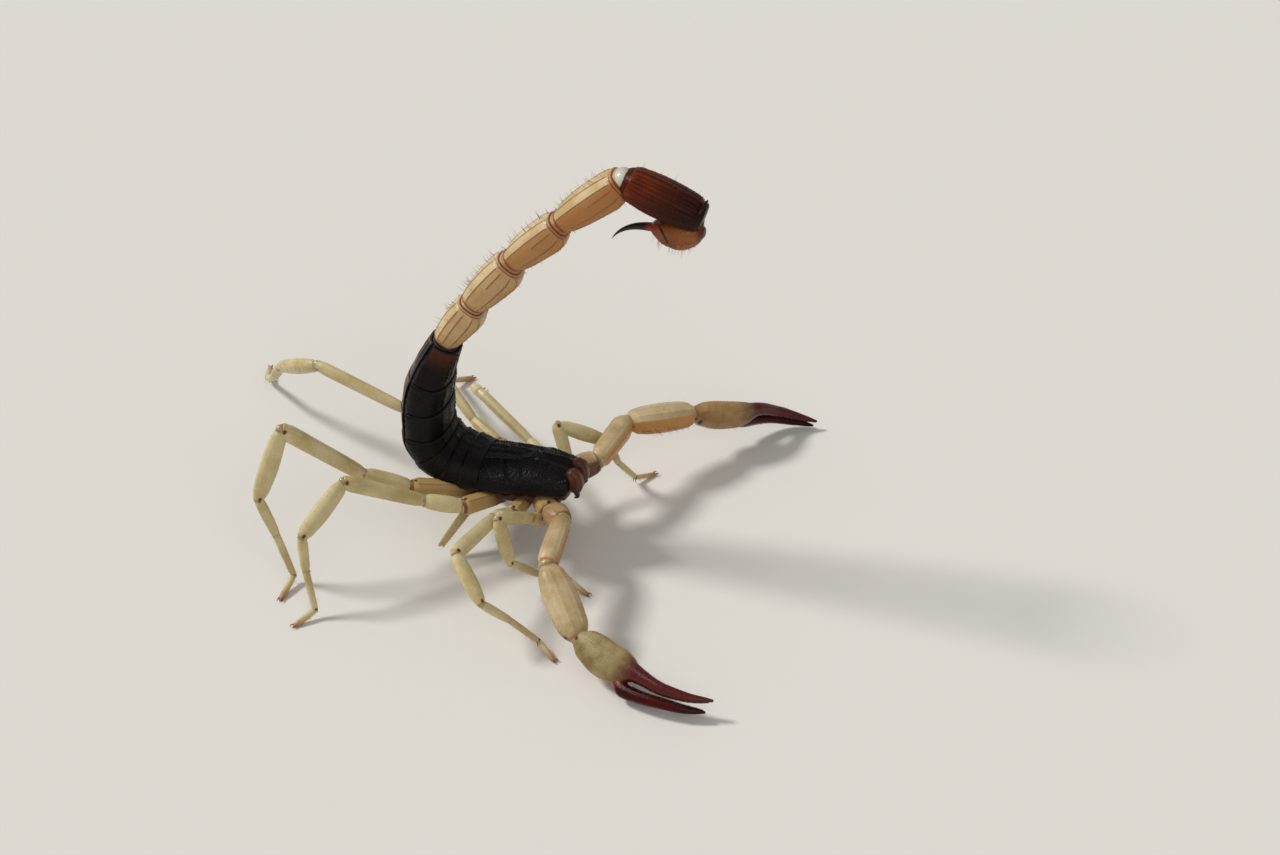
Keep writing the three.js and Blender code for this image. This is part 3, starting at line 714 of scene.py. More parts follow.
def on_carapace(share, y):
    """The angle, in degrees, at which the carapace's skin has some distance y from the midline."""
    c = np.sign(y) * (abs(y) / smooth(CARAPACE_ROWS, share)[0]) ** (carapace.power / 2)
    return math.degrees(math.acos(max(-1, min(1, c))))


def make_carapace():
    shape = skin(Shape(), carapace, 190, 180, carapace_relief, (0.2, 0.15),
                 ridge=lambda s, a: carapace_relief(s, a) * 3 - 0.2, rim=lambda s, a: bell(np.sin(a), 0.12))
    for line in CARAPACE_LINES:
        places, spreads = zip(*line)
        count = int((places[-1] - places[0]) * CARAPACE_LENGTH / 0.34)
        shares = np.linspace(places[0], places[-1], count)
        for sign in SIDES.values():
            angles = [on_carapace(s, sign * y) for s, y in zip(shares, np.interp(shares, places, spreads))]
            studs(shape, carapace, shares, angles, 0.11, 0.1, carapace_relief)
    scatter(shape, carapace, 900, (0.02, 0.97), (14, 166), 0.075, 0.05, carapace_relief)
    make_object("carapace", shape, "trunk")


def make_eyes():
    lateral = Shape()
    for side, sign in SIDES.items():
        shape = Shape()
        ball(shape, eye_center(sign) + 0.02 * Z, [EYE_RADIUS] * 3, rings=16, sides=28)
        make_object(f"eye_{side}", shape, "eye")
        for share, y, radius in LATERAL_EYES:
            center, _, _ = carapace.at(share, math.radians(on_carapace(share, sign * y)), 0.02)
            ball(lateral, center, [radius] * 3, rings=8, sides=12)
    make_object(None, lateral, "eye", name="lateral_eyes")


CHELICERA_CROWN = (13.5, 1.2, 12.35)
CHELICERA_LINE = [(-0.35, 0.35), (-0.12, -0.1), (0.05, -0.8), (0.14, -1.5), (0.15, -2.1)]
CHELICERA_ROWS = [
    (0, 0.78, 0.8), (0.16, 0.98, 1.06), (0.45, 1.05, 1.16), (0.75, 1.02, 1.08), (0.92, 0.9, 0.92),
    (1, 0.76, 0.76),
]


def make_chelicerae(coat):
    """A hand each, that arches forward and down, with a fixed and a movable finger under it."""
    for side, sign in SIDES.items():
        shape = Shape()
        line = [mirrored(CHELICERA_CROWN, sign) + (ahead, 0, rise) for ahead, rise in CHELICERA_LINE]
        hand = bowed(line, Y, CHELICERA_ROWS, 2.3)
        ridges = [(a, 0.05, 8, 0.1, 0.98) for a in (40, 70, 110, 140)]
        relief, ridge = ridges_on(hand, ridges, 0.5, grain=0.02, grain_size=0.26, beads=5)
        stripes = lambda s, a: 0.8 * ease(np.cos(9 * a + 0.8 * np.sin(6 * s)), 0.3, 1)
        skin(shape, hand, 80, 80, relief, (0.5, 0.4), rim=ends(hand, 0, 0.2), tip=fade(0.55, 1),
             ridge=lambda s, a: np.maximum(ridge(s, a), stripes(s, a)))
        for offset, length, bow in ((-0.42, 1.2, 0.05), (0.45, 1.5, 0.15)):
            start = line[-1] + (0.2, sign * offset, 0.2)
            middle = start + (0.1 + bow, sign * offset * 0.1, -0.55 * length)
            tip = start + (-0.3, -sign * offset * 0.4, -length)
            finger = horn(shape, [start, middle, tip], [0.42, 0.38, 0.3, 0.17, 0.03], Y, 24, 20,
                          tip=lambda s, a: 0.8 + 0.2 * s, spot=fade(0.4, 1))
            size = np.array([0.1, 0.13, 0.1])
            edge = 180 if offset * sign > 0 else 0
            studs(shape, finger, [0.45, 0.62, 0.8], edge, size, 1.5 * size, mark="spot")
        coat.grow(hand, 60, (0.55, 1), (190, 350), 0.4, 0.016, 0.6)
        make_object(f"chelicera_{side}", shape, "chelicera")


def make_coxosternum():
    """The floor of the prosoma, the coxae that lie side by side under it, and the sternum."""
    shape = Shape()
    rows = [(0, 3.9, 1.2, 0.8), (0.35, 4.1, 1.2, 1.15), (0.7, 3.6, 1.1, 1.1), (1, 2.6, 0.9, 0.8)]
    slab = bone(*(prosoma_point(share, 0, MARGIN_HEIGHT - 1.4) for share in (0, 0.94)), Y, rows)
    skin(shape, slab, 60, 80, lambda s, a: 0.05 * np.sin(a * 9) * np.sin(s * 40),
         ridge=lambda s, a: 0.4 + 0.4 * np.sin(s * 30 + a * 4))
    for sign in SIDES.values():
        coxae = zip([*COXA_ROOTS, PALP_COXA_ROOT], [*LEG_PAIRS, (PALP_BASE, None, PALP_COXA_GIRTH)])
        for root, (tip, _, girth) in coxae:
            rows = [(0, 0.75, 0.8), (0.15, 0.95, 1), (0.6, 1.12 * girth, 1.15 * girth),
                    (0.92, 1.18 * girth, 1.2 * girth), (1, girth, girth)]
            coxa = bone(mirrored(root, sign), mirrored(tip, sign), Z, rows)
            ridges = [(a, 0.09, 9, 0.25, 0.96) for a in (30, 150, 210, 330)]
            relief, ridge = ridges_on(coxa, ridges, 0.6, grain=0.025, grain_size=0.28)
            # Each coxa is painted reddish brown near the body and tan towards its tip; the dark part under
            # the trunk is partly painted shade.
            skin(shape, coxa, 44, 48, relief, (0.3, 0.35), ridge=ridge, rim=ends(coxa, 0, 0.07),
                 tip=fade(0.2, 0.62, 0.95), spot=dots(coxa, [(0.96, a, 0.22) for a in (0, 180)]))
        # the lobes of the first two pairs' coxae, which floor the mouth
        for start, end in (((8.6, 1, 7.4), (11.4, 1, 7.7)), ((7.2, 0.8, 7), (10.6, 0.5, 7.1))):
            rows = [(0, 0.45, 0.5), (0.5, 0.55, 0.5), (1, 0.3, 0.3)]
            lobe = bone(mirrored(start, sign), mirrored(end, sign), Y, rows)
            skin(shape, lobe, 20, 24, caps=(0.2, 0.25), rim=ends(lobe, 0, 0.3))
    rows = [(0, 1, 0.3), (0.5, 0.75, 0.32), (1, 0.2, 0.2)]
    sternum = bone([3, 0, 7.15], [5.4, 0, 7.1], Y, rows, 2.6)
    skin(shape, sternum, 24, 32, lambda s, a: -0.12 * bell(np.cos(a), 0.2), rim=ends(sternum, 0.3, 0.3))
    for sign in SIDES.values():
        rows = [(0, 0.7, 0.25), (0.6, 0.75, 0.28), (1, 0.3, 0.2)]
        lid = bone([1.6, sign * 0.15, 7.2], [1.9, sign * 1.9, 7.3], X, rows)
        skin(shape, lid, 20, 28, caps=(0.12, 0.3), rim=ends(lid, 0.15, 0.3))
    make_object("coxosternum", shape, "coxa")


# ---- mesosoma: plates over and under a folded membrane ----


def spine(start, segments):
    return chain(start, [length * backward(heading) for length, heading, *_ in segments])


TRUNK_POINTS = spine(CARAPACE_REAR, MESOSOMA)
TAIL_POINTS = spine(TRUNK_POINTS[-1], METASOMA)
LEAD_IN = 2.6  # how far the membrane runs on inside the carapace
trunk_steps = np.cumsum([LEAD_IN, *(segment[0] for segment in MESOSOMA)])
trunk_length = trunk_steps[-1]
knots = trunk_steps / trunk_length
trunk_rows = [(0, 3.6, 1.7, 1.9), (knots[0], 4.45, 2.35, 2.5)]
trunk_rows += [(knot, w - 0.12, d - 0.12, d - 0.12) for knot, (_, _, w, d) in zip(knots[1:], MESOSOMA)]
trunk = bowed([CARAPACE_REAR + (LEAD_IN, 0, 0.1), *TRUNK_POINTS], -Y, trunk_rows, 2.4)


def make_trunk():
    shape = Shape()
    wave = lambda s, a: np.sin(a * 44 + 3 * np.sin(s * 60))
    folds = lambda s, a: 0.05 * (wave(s, a) + np.sin(s * trunk_length * 7)) * np.abs(np.cos(a)) - 0.2
    skin(shape, trunk, 170, 220, folds, (0.2, 0.35),
         ridge=lambda s, a: (0.3 + 0.2 * wave(s, a)) * ease(s, 0.99, 0.9))
    make_object(None, shape, "pleura", "pleural_membrane")
    for index in range(len(MESOSOMA)):
        make_tergite(index, index == len(MESOSOMA) - 1)
    for index in range(2, len(MESOSOMA)):
        make_sternite(index, index == len(MESOSOMA) - 1)


def rear_edge(end, width):
    return lambda s, a: bell((s - end) * trunk_length, width)


def make_tergite(index, last):
    start, end = knots[index:index + 2]
    size = end - start
    step = 0.35 / trunk_length
    lift = lambda s, a: 0.02 + (0.02 if last else 0.16) * ease(s, start, start + 0.8 * size)
    ridges = [(a, 0.1, 3, start + 0.25 * size, end) for a in ((62, 78, 102, 118) if last else (66, 90, 114))]
    relief, _ = ridges_on(trunk, ridges, grain=0.035, grain_size=0.34)
    rise = lambda s, a: lift(s, a) + relief(s, a) * ease(s, start, start + 0.2 * size)
    outer = lambda s, a: rise(s, a) + (0.04 if last else 0.1) * rear_edge(end, 0.16)(s, a)
    span, rings = (start - step, end + (0 if last else step)), 80 if last else 44
    shape = plate(Shape(), trunk, span, (-24, 204), rings, 230, outer, lambda s, a: lift(s, a) - 0.2,
                  ridge=lambda s, a: relief(s, a) * 5 - 0.1, rim=rear_edge(end, 0.25),
                  tip=fade(end - 0.55 * size, end) if last else 0)
    stud_rows(shape, trunk, ridges, 0.26, 0.09, 0.09, rise, wander=0.6)
    studs(shape, trunk, end - 0.1 / trunk_length, np.linspace(-18, 198, 80), 0.08, 0.07, outer)
    scatter(shape, trunk, 160, (start + 0.3 * size, end), (-15, 195), 0.07, 0.05, rise)
    make_object(f"mesosoma_{index + 1}", shape, "trunk", name=f"tergite_{index + 1}")


def make_sternite(index, last):
    start, end = knots[index:index + 2]
    size = end - start
    step = 0.3 / trunk_length
    lift = lambda s, a: 0.02 + 0.12 * ease(s, start, start + 0.8 * size)
    lines = (238, 256, 284, 302) if last else (254, 286)
    relief, ridge = ridges_on(trunk, [(a, 0.09, 2.5, start + 0.4 * size, end) for a in lines], 0.7)

    def slits(s, a):
        mark = np.zeros_like(s)
        for angle in () if last else (236, 304):
            along = (s - start - 0.62 * size) * trunk_length
            around = turn_between(a, math.radians(angle)) * 4.5
            mark += bell(along + 0.25 * around * np.sign(angle - 270), 0.13) * bell(around, 0.55)
        return mark

    outer = lambda s, a: lift(s, a) + relief(s, a) - 0.12 * slits(s, a)
    shape = plate(Shape(), trunk, (start - step, end + step), (222, 318), 50, 130, outer,
                  lambda s, a: lift(s, a) - 0.18, ridge=ridge, rim=rear_edge(end, 0.3), spot=slits)
    make_object(None, shape, "sternite", f"sternite_{index + 1}")


def make_pectines():
    """The two combs under the trunk: a shaft of three plates, small beads, and a row of flat teeth."""
    for side, sign in SIDES.items():
        root, tip = np.array([1, sign * 1.6, 7.6]), np.array([-2.8, sign * 7.4, 2])
        rows = [(0, 0.25, 0.5), (0.2, 0.28, 0.55), (0.75, 0.24, 0.45), (1, 0.16, 0.25)]
        shaft = bone(root, tip, (1, 0, 0.6), rows)
        across, up, axis = shaft.axes(0)
        down = -up * np.sign(up[2])
        shape = Shape()
        joints = lambda s, a: bell(s - 0.36, 0.01) + bell(s - 0.7, 0.01)
        skin(shape, shaft, 70, 26, lambda s, a: -0.06 * joints(s, a), (0.2, 0.2),
             ridge=lambda s, a: 0.84 * joints(s, a))
        for share in np.linspace(0.12, 0.97, 24):
            size = 1 - 0.35 * share
            base = root + share * (tip - root) + down * 0.34 * size
            ball(shape, base, [0.13, 0.13, 0.13], rings=6, sides=8)
            rows = [(0, 0.1, 0.09), (0.35, 0.16, 0.15), (0.8, 0.17, 0.17), (1, 0.1, 0.1)]
            tooth = bone(base, base + (down + 0.2 * axis) * 0.8 * size, across, rows)
            skin(shape, tooth, 9, 12, caps=(0.03, 0.07), rim=ends(tooth, 0.12, 0))
        make_object(f"pectine_{side}", shape, "comb")


# ---- metasoma and telson ----

TAIL_ROWS = [
    (0, 0.58, 0.44, 0.66), (0.05, 0.66, 0.52, 0.76), (0.2, 0.86, 0.73, 0.92), (0.5, 0.98, 0.96, 1),
    (0.8, 0.97, 1.1, 0.95), (0.9, 0.86, 0.98, 0.88), (0.96, 0.7, 0.74, 0.8), (1, 0.62, 0.62, 0.74),
]
LAST_TAIL_ROWS = [
    (0, 0.56, 0.48, 0.66), (0.04, 0.7, 0.6, 0.78), (0.14, 0.88, 0.82, 0.95), (0.45, 1, 0.98, 1.02),
    (0.8, 0.92, 0.92, 0.94), (0.95, 0.76, 0.8, 0.8), (1, 0.68, 0.72, 0.72),
]
VESICLE_ROWS = [
    (0, 0.42, 0.34, 0.34), (0.06, 0.66, 0.5, 0.66), (0.15, 0.85, 0.62, 0.92), (0.45, 1, 0.8, 1.3),
    (0.75, 0.85, 0.75, 1.05), (0.95, 0.5, 0.5, 0.5), (1, 0.36, 0.34, 0.34),
]
# The tint of each pale segment's dorsal side is partly its own colour and partly painted shade on the side
# turned away from the light.
TAIL_GOLD_AND_SHADE = (0.3, 0.45, 0.75, 0.9)  # how deep the gold of each pale segment's upper side is


def scaled(rows, width, depth):
    return [(share, w * width, *(height * depth for height in heights)) for share, w, *heights in rows]


def tail_rims(s, a):
    collar = bell(s - 0.968, 0.011) + 0.75 * bell(s - 0.045, 0.012)
    return 0.2 * collar - 0.08 * (bell(s - 0.99, 0.009) + bell(s - 0.018, 0.01))


def last_tail_rims(s, a):
    return 0.12 * bell(s - 0.965, 0.012) - 0.08 * bell(s - 0.94, 0.012)


def make_tail(bristles):
    for index, (_, _, width, depth) in enumerate(METASOMA):
        last = index == len(METASOMA) - 1
        rows = scaled(LAST_TAIL_ROWS if last else TAIL_ROWS, width, depth)
        tube = bone(TAIL_POINTS[index], TAIL_POINTS[index + 1], -Y, rows, 2.6)
        shape = Shape()
        if last:
            ridges = [(a, 0.08, 4, 0.08, 0.93) for a in (35, 145, 224, 316, 270)]
            ridges += [(a, 0.035, 3, 0.12, 0.9) for a in (239, 254, 286, 301, 331, 346, 194, 209, 8, 172)]
            tint_and_shade = fade(0.15, 0.85)
        else:
            ridges = [(a, 0.1, 4, 0.07, 0.93) for a in (55, 125, 20, 160, 210, 330, 248, 292)]
            ridges += [(a, 0.04, 3, 0.55 if index else 0.1, 0.92) for a in (-6, 186)]
            # On the pale segments the dorsal side is tinted a deeper yellow-brown: partly their own colour,
            # partly painted shade on the side away from the light.
            tint_and_shade = lambda s, a: TAIL_GOLD_AND_SHADE[index] * band(turn_between(a, np.pi / 2), -2.05, 2.05, 0.15)
        rims = last_tail_rims if last else tail_rims
        relief, ridge = ridges_on(tube, ridges, 0.95, grain=0.025, extra=rims)
        skin(shape, tube, 130, 150, relief, (0.4, 0.3), ridge=ridge, tip=tint_and_shade,
             rim=lambda s, a: sum(bell(s - place, 0.011) for place in (0.028, 0.058, 0.952, 0.986)))
        stud_rows(shape, tube, ridges, 0.21, 0.065, 0.055, relief, wander=0.4, tone=0.65)
        if last:
            studs(shape, tube, 0.968, np.linspace(190, 350, 26), 0.12, 0.16, relief, mark="rim")
        else:
            crest = [(a, 0, 0, 0.78, 0.9) for a in (55, 125)]
            stud_rows(shape, tube, crest, 0.26, 0.11, 0.16, relief, tone=0.5)
        scatter(shape, tube, 260 if last else 90, (0.1, 0.9), (0, 360), 0.05, 0.04, relief, tone=0.25)
        count = 20 if index else 6
        bristles.grow(tube, count, (0.12, 0.95), (252, 288), 1.15, 0.026, 0.08, 0, relief)
        bristles.grow(tube, 10, (0.1, 0.95), (30, 150), 0.6, 0.022, 0.2, 0, relief)
        bristles.grow(tube, 10, (0.1, 0.95), (205, 335), 0.8, 0.022, 0.15, 0, relief)
        make_object(f"metasoma_{index + 1}", shape, "tail_end" if last else "tail")


def make_telson(hairs):
    axis = backward(VESICLE_HEADING)
    start = TAIL_POINTS[-1] + VESICLE_DROP
    end = start + VESICLE_LENGTH * axis
    tube = bone(start, end, -Y, scaled(VESICLE_ROWS, VESICLE_WIDTH, VESICLE_DEPTH))
    ridges = [(a, 0.04, 6, 0.15, 0.9) for a in (200, 222, 246, 270, 294, 318, 340)]
    relief, ridge = ridges_on(tube, ridges, 0.5, grain=0.03, grain_size=0.28)
    # A thin dark line across the vesicle's near side is a painted shadow; no groove lies under it.
    painted_shadow_streak = [(0.55 + 0.3 * t, -50 + 110 * t, 0.06 + 0.14 * math.sin(math.pi * t))
              for t in np.linspace(0.02, 0.98, 30)]
    shape = skin(Shape(), tube, 110, 120, relief, (0.3, 0.1), ridge=ridge, rim=ends(tube, 0.5, 0),
                 spot=dots(tube, painted_shadow_streak), tip=fade(0.75, 1))
    stud_rows(shape, tube, ridges, 0.36, 0.08, 0.07, relief, wander=2)
    hairs.grow(tube, 60, (0.1, 0.95), (190, 350), 1.3, 0.022, 0.1, 0.5, relief)
    hairs.grow(tube, 16, (0.2, 0.9), (20, 160), 0.8, 0.02, 0.3)
    make_object("vesicle", shape, "vesicle")

    shares = np.linspace(0, 1, 13)
    stride = ACULEUS_LENGTH / 12
    bend = [stride * backward(VESICLE_HEADING + 4 - 66 * share**1.4) for share in shares[:-1]]
    sting = Shape()
    horn(sting, chain(end - 0.5 * axis, bend), 0.6 - 0.57 * shares**1.25, -Y, 70, 36, rim=fade(0.3, 0.05))
    make_object("aculeus", sting, "sting")


# ---- pedipalps ----

PALP_ROWS = {
    "trochanter": [(0, 0.9, 0.9), (0.2, 1.35, 1.35), (0.5, 1.65, 1.6), (0.85, 1.5, 1.45), (1, 1.3, 1.25)],
    "femur": [(0, 0.85, 0.95), (0.07, 1.05, 1.3), (0.2, 1.25, 1.55), (0.85, 1.35, 1.65),
              (0.95, 1.25, 1.5), (1, 1.05, 1.25)],
    "patella": [(0, 0.85, 0.8), (0.06, 1.25, 1.05), (0.14, 1.65, 1.4), (0.35, 2.05, 1.57),
                (0.55, 2.15, 1.6), (0.85, 1.95, 1.5), (0.95, 1.6, 1.35), (1, 1.2, 1.05)],
}
# angle and height of each ridge; an angle of 0 is the inner side on either palp
PALP_RIDGES = {
    "trochanter": [(40, 0.06), (140, 0.06)],
    "femur": [(42, 0.1), (138, 0.1), (-45, 0.09), (2, 0.05), (222, 0.05)],
    "patella": [(30, 0.1), (62, 0.07), (100, 0.06), (140, 0.07), (-18, 0.08), (-48, 0.09), (228, 0.05),
                (185, 0.04)],
}
FINGER_REACH = 1.1  # how far a finger's root lies from the hand's middle line
# place along the palm, from 0 at its root to 1 at the fingers', half depth, half width
PALM_ROWS = [
    (0, 0.8, 0.95), (0.08, 1.05, 1.4), (0.18, 1.3, 1.95), (0.5, 1.5, 2.4), (0.75, 1.45, 2.3),
    (0.93, 1.25, 1.8), (1.08, 0.95, 1.15), (1.3, 0.76, 0.86),
]
FINGER_ROWS = [
    (0, 0.7, 0.75), (0.1, 0.85, 0.95), (0.3, 0.72, 0.8), (0.72, 0.52, 0.58), (0.9, 0.34, 0.38),
    (1, 0.15, 0.17),
]


def tooth_rows(shape, tube, angle, start, end):
    """The slanting rows of fine teeth along a finger's cutting edge."""
    size = (end - start) / 12
    for low_share in start + size * np.arange(12):
        shares = np.linspace(low_share, low_share + 1.15 * size, 8)
        studs(shape, tube, shares, angle + np.linspace(-9, 9, 8), 0.075, 0.12, sides=5, mark="spot")
        studs(shape, tube, low_share, [angle - 24, angle + 24], 0.1, 0.17, sides=5, mark="spot")


def make_palp_segment(name, part, sign, start, end, bristles):
    root = part == "trochanter"
    inner = 0 if sign < 0 else 180
    tube = bone(start, end, np.cross(Z, end - start), PALP_ROWS[part], 2.4)
    ridges = [(inner - sign * a, height, 5, 0.1, 0.93) for a, height in PALP_RIDGES[part]]
    relief, ridge = ridges_on(tube, ridges, grain=0.012)
    # The inner underside of each palp segment takes the tip colour (dark brown on the trochanter,
    # orange-brown elsewhere) and the full ridge colour: partly own colour, partly painted shade on the side
    # away from the light.
    low_side, reach = math.radians(inner + 50 * sign), 1.6 if root else 1.4
    lower_tint_and_shade = lambda a: band(turn_between(a, low_side), -reach, reach, 0.25)
    shape = skin(Shape(), tube, 90, 96, relief, (0.45, 0.35),
                 ridge=lambda s, a: ridge(s, a) * (0.2 + 0.8 * lower_tint_and_shade(a)), rim=ends(tube, 0.06, 0.08, 0.6),
                 spot=dots(tube, [(0.97, 0, 0.3), (0.97, 180, 0.3), (0.03, 0, 0.26), (0.03, 180, 0.26)]),
                 tip=lambda s, a: (0.95 if root else 0.85) * lower_tint_and_shade(a))
    stud_rows(shape, tube, ridges, 0.3, 0.05, 0.05, relief, wander=0.8, tone=0.5)
    if not root:
        stud_rows(shape, tube, [(inner, 0, 0, 0.12, 0.9)], 0.7, 0.07, 0.12, relief, wander=4, tone=0.6)
    scatter(shape, tube, 60, (0.08, 0.92), (0, 360), 0.04, 0.035, relief, tone=0.3)
    bristles.grow(tube, 16, (0.1, 0.95), (0, 360), 0.7, 0.016, 0.35)
    if part == "patella":
        comb = (-32, -8) if sign < 0 else (188, 212)
        bristles.grow(tube, 40, (0.15, 0.9), comb, 0.75, 0.026, 0.5)
    make_object(name, shape, "palp_root" if root else "palp")


def make_hand(name, joints, run, normal, row, bow, spread, cutting, bristles):
    """The hand, which swells and runs on into its fixed finger."""
    palm, reach = joints[4] - joints[3], joints[5] - joints[4]
    fixed = -FINGER_REACH * row
    far = joints[5] + spread * fixed
    points = [
        joints[3], joints[3] + 0.3 * palm, joints[3] + 0.62 * palm,
        joints[4] - 1.2 * run + 0.45 * fixed, joints[4] + 0.5 * run + 1.05 * fixed + 0.3 * bow,
        (joints[4] + fixed + far) / 2 + bow, far - 0.25 * reach + 0.7 * bow, far,
    ]
    palm_share = 8.6 / np.linalg.norm(np.diff(points, axis=0), axis=1).sum()
    rows = [(share * palm_share, w, h) for share, w, h in PALM_ROWS]
    tube = bowed(points, normal, [*rows, (0.75, 0.62, 0.68), (0.92, 0.38, 0.42), (1, 0.16, 0.18)], 2.2)
    lines = (30, 150, 205, 335, 60, 120, 240, 300)
    ridges = [(a, 0.06, 6, 0.1 * palm_share, 0.95 * palm_share) for a in lines]
    relief, ridge = ridges_on(tube, ridges, 0.45, grain=0.01, grain_size=0.35)
    tint = fade(0.72 * palm_share, 1.12 * palm_share)

    # The hand's carinae and two edges are tinted orange-brown, their own colour; the same tint on its inner
    # face is partly painted shade.
    def amber_and_shade(s, a):
        inner = 0.5 * band(turn_between(a, np.pi), -1.2, 1.2, 0.3)
        return np.maximum(ridge(s, a), np.maximum(0.6 * np.sin(a) ** 4, inner) * (1 - tint(s, a)))

    shape = skin(Shape(), tube, 210, 90, relief, (0.4, 0.12), ridge=amber_and_shade, rim=ends(tube, 0.2, 0), tip=tint,
                 spot=dots(tube, [(0.02, 0, 0.2), (0.02, 180, 0.2), (0.13 * palm_share, 190, 0.3)]))
    tooth_rows(shape, tube, cutting, 1.15 * palm_share, 0.97)
    stud_rows(shape, tube, ridges, 0.4, 0.04, 0.03, relief, wander=1, tone=0.3)
    bristles.grow(tube, 26, (0.05, 0.98), (0, 360), 0.6, 0.015, 0.4)
    make_object(name, shape, "hand")


def make_finger(name, joints, run, normal, row, bow, spread, cutting, bristles):
    """The movable finger, which turns on the hand's outer corner."""
    movable = 1.2 * row
    root, far = joints[4] - 0.9 * run + movable, joints[5] + spread * movable
    points = [root, root + 1.6 * run + 0.1 * movable + 0.35 * bow, (root + far) / 2 + bow,
              far + 0.25 * (root - far) + 0.7 * bow, far]
    tube = bowed(points, normal, FINGER_ROWS, 2.2)
    relief, ridge = ridges_on(tube, [(a, 0.05, 9, 0.1, 0.8) for a in (40, 140, 220, 320)], 0.6, grain=0.01)
    shape = skin(Shape(), tube, 150, 60, relief, (0.4, 0.12), ridge=ridge, rim=ends(tube, 0.9, 0),
                 tip=fade(0.5, 1))
    tooth_rows(shape, tube, cutting, 0.2, 0.97)
    bristles.grow(tube, 20, (0.08, 0.98), (0, 360), 0.5, 0.015, 0.4)
    make_object(name, shape, "finger")


def make_palp(side, bristles, folds):
    sign = SIDES[side]
    steps = [length * mirrored(direction(swing, pitch), sign) for length, swing, pitch in PALP_POSES[side]]
    joints = chain(mirrored(PALP_BASE, sign), steps)
    for part, start, end in zip(PALP_ROWS, joints, joints[1:]):
        make_palp_segment(f"palp_{side}_{part}", part, sign, start, end, bristles)

    # The hand's run, the normal of its broad face, and the row of its fingers.
    run = unit(steps[3])
    outward = np.cross(Z, run) * sign
    tilt = math.radians(HAND_TILT[side])
    normal = outward * math.sin(tilt) + Z * math.cos(tilt)
    normal = unit(normal - np.dot(normal, run) * run)
    hand = (joints, run, normal, np.cross(normal, run) * sign, FINGER_BOW * unit(outward), TIP_SPREAD[side])
    make_hand(f"palp_{side}_hand", *hand, 180 + 90 * sign, bristles)
    make_finger(f"palp_{side}_finger", *hand, 180 - 90 * sign, bristles)

    # Joint membranes from the coxa to the hand.
    directions = [unit(step) for step in (steps[0], *steps)]
    for k, girth in enumerate((1.05, 1.05, 0.98, 0.9)):
        rows = [(0, girth, girth), (0.5, 1.05 * girth, 1.12 * girth), (1, girth, girth)]
        sleeve(folds, joints[k], directions[k], directions[k + 1], 0.75, rows, Y if k < 3 else normal)


# ---- legs ----

LEG_ROWS = [
    [(0, 0.56, 0.7), (0.12, 0.78, 0.98), (0.45, 0.86, 1.14), (0.85, 0.82, 1.04), (1, 0.66, 0.86)],
    [(0, 0.5, 0.66), (0.07, 0.66, 0.84), (0.2, 0.74, 0.96), (0.6, 0.78, 1.04), (0.9, 0.78, 1.08),
     (1, 0.62, 0.9)],
    [(0, 0.42, 0.52), (0.07, 0.6, 0.82), (0.16, 0.74, 1.04), (0.55, 0.83, 1.22), (0.88, 0.68, 0.98),
     (1, 0.5, 0.7)],
    [(0, 0.38, 0.46), (0.1, 0.52, 0.64), (0.25, 0.57, 0.71), (0.85, 0.5, 0.62), (1, 0.43, 0.52)],
    [(0, 0.36, 0.42), (0.12, 0.43, 0.5), (0.9, 0.38, 0.43), (1, 0.33, 0.37)],
    [(0, 0.3, 0.34), (0.2, 0.36, 0.4), (0.8, 0.38, 0.4), (1, 0.3, 0.32)],
]
# half width and half height of the membrane at each joint
LEG_FOLDS = [(0.66, 0.76), (0.58, 0.72), (0.52, 0.62), (0.42, 0.5), (0.36, 0.42), (0.3, 0.33)]


def leg_steps(sign, pair, pose):
    """The vector of each segment; the last one slopes down until its tip is just above the floor."""
    (_, _, hip_height), lengths, _ = pair
    steps = [length * mirrored(direction(*turns), sign) for turns, length in zip(pose[:5], lengths)]
    height = hip_height + sum(step[2] for step in steps) - SOLE_TO_TIP
    drop = -math.degrees(math.asin(height / lengths[5]))
    return [*steps, lengths[5] * mirrored(direction(pose[5], drop), sign)]


def make_spurs(claws, tube, joint, down, girth):
    across, _, onward = tube.axes(0)
    for turn in (-1, 1):
        foot = joint + (0.3 * down + 0.2 * turn * across) * girth
        point = foot + (onward * 0.5 + down * 0.55 + turn * across * 0.25) * 0.6
        horn(claws, [foot, (foot + point) / 2 + down * 0.05, point], [0.08, 0.055, 0.012], across, 8, 8,
             tip=fade(0.2, 0.9))


def make_claws(claws, tip, onward):
    level = unit(onward * (1, 1, 0))
    beside = np.cross(Z, level)
    for turn in (-1, 1):
        foot = tip + Z * 0.14 + turn * beside * 0.16
        points = [foot + ahead * level + turn * aside * beside + rise * Z for ahead, aside, rise in
                  ((-0.15, 0, 0), (0.25, 0.1, 0.1), (0.48, 0.13, -0.02), (0.56, 0.13, -0.16))]
        horn(claws, points, [0.11, 0.085, 0.055, 0.015], beside, 16, 10, tip=fade(0.1, 0.8))


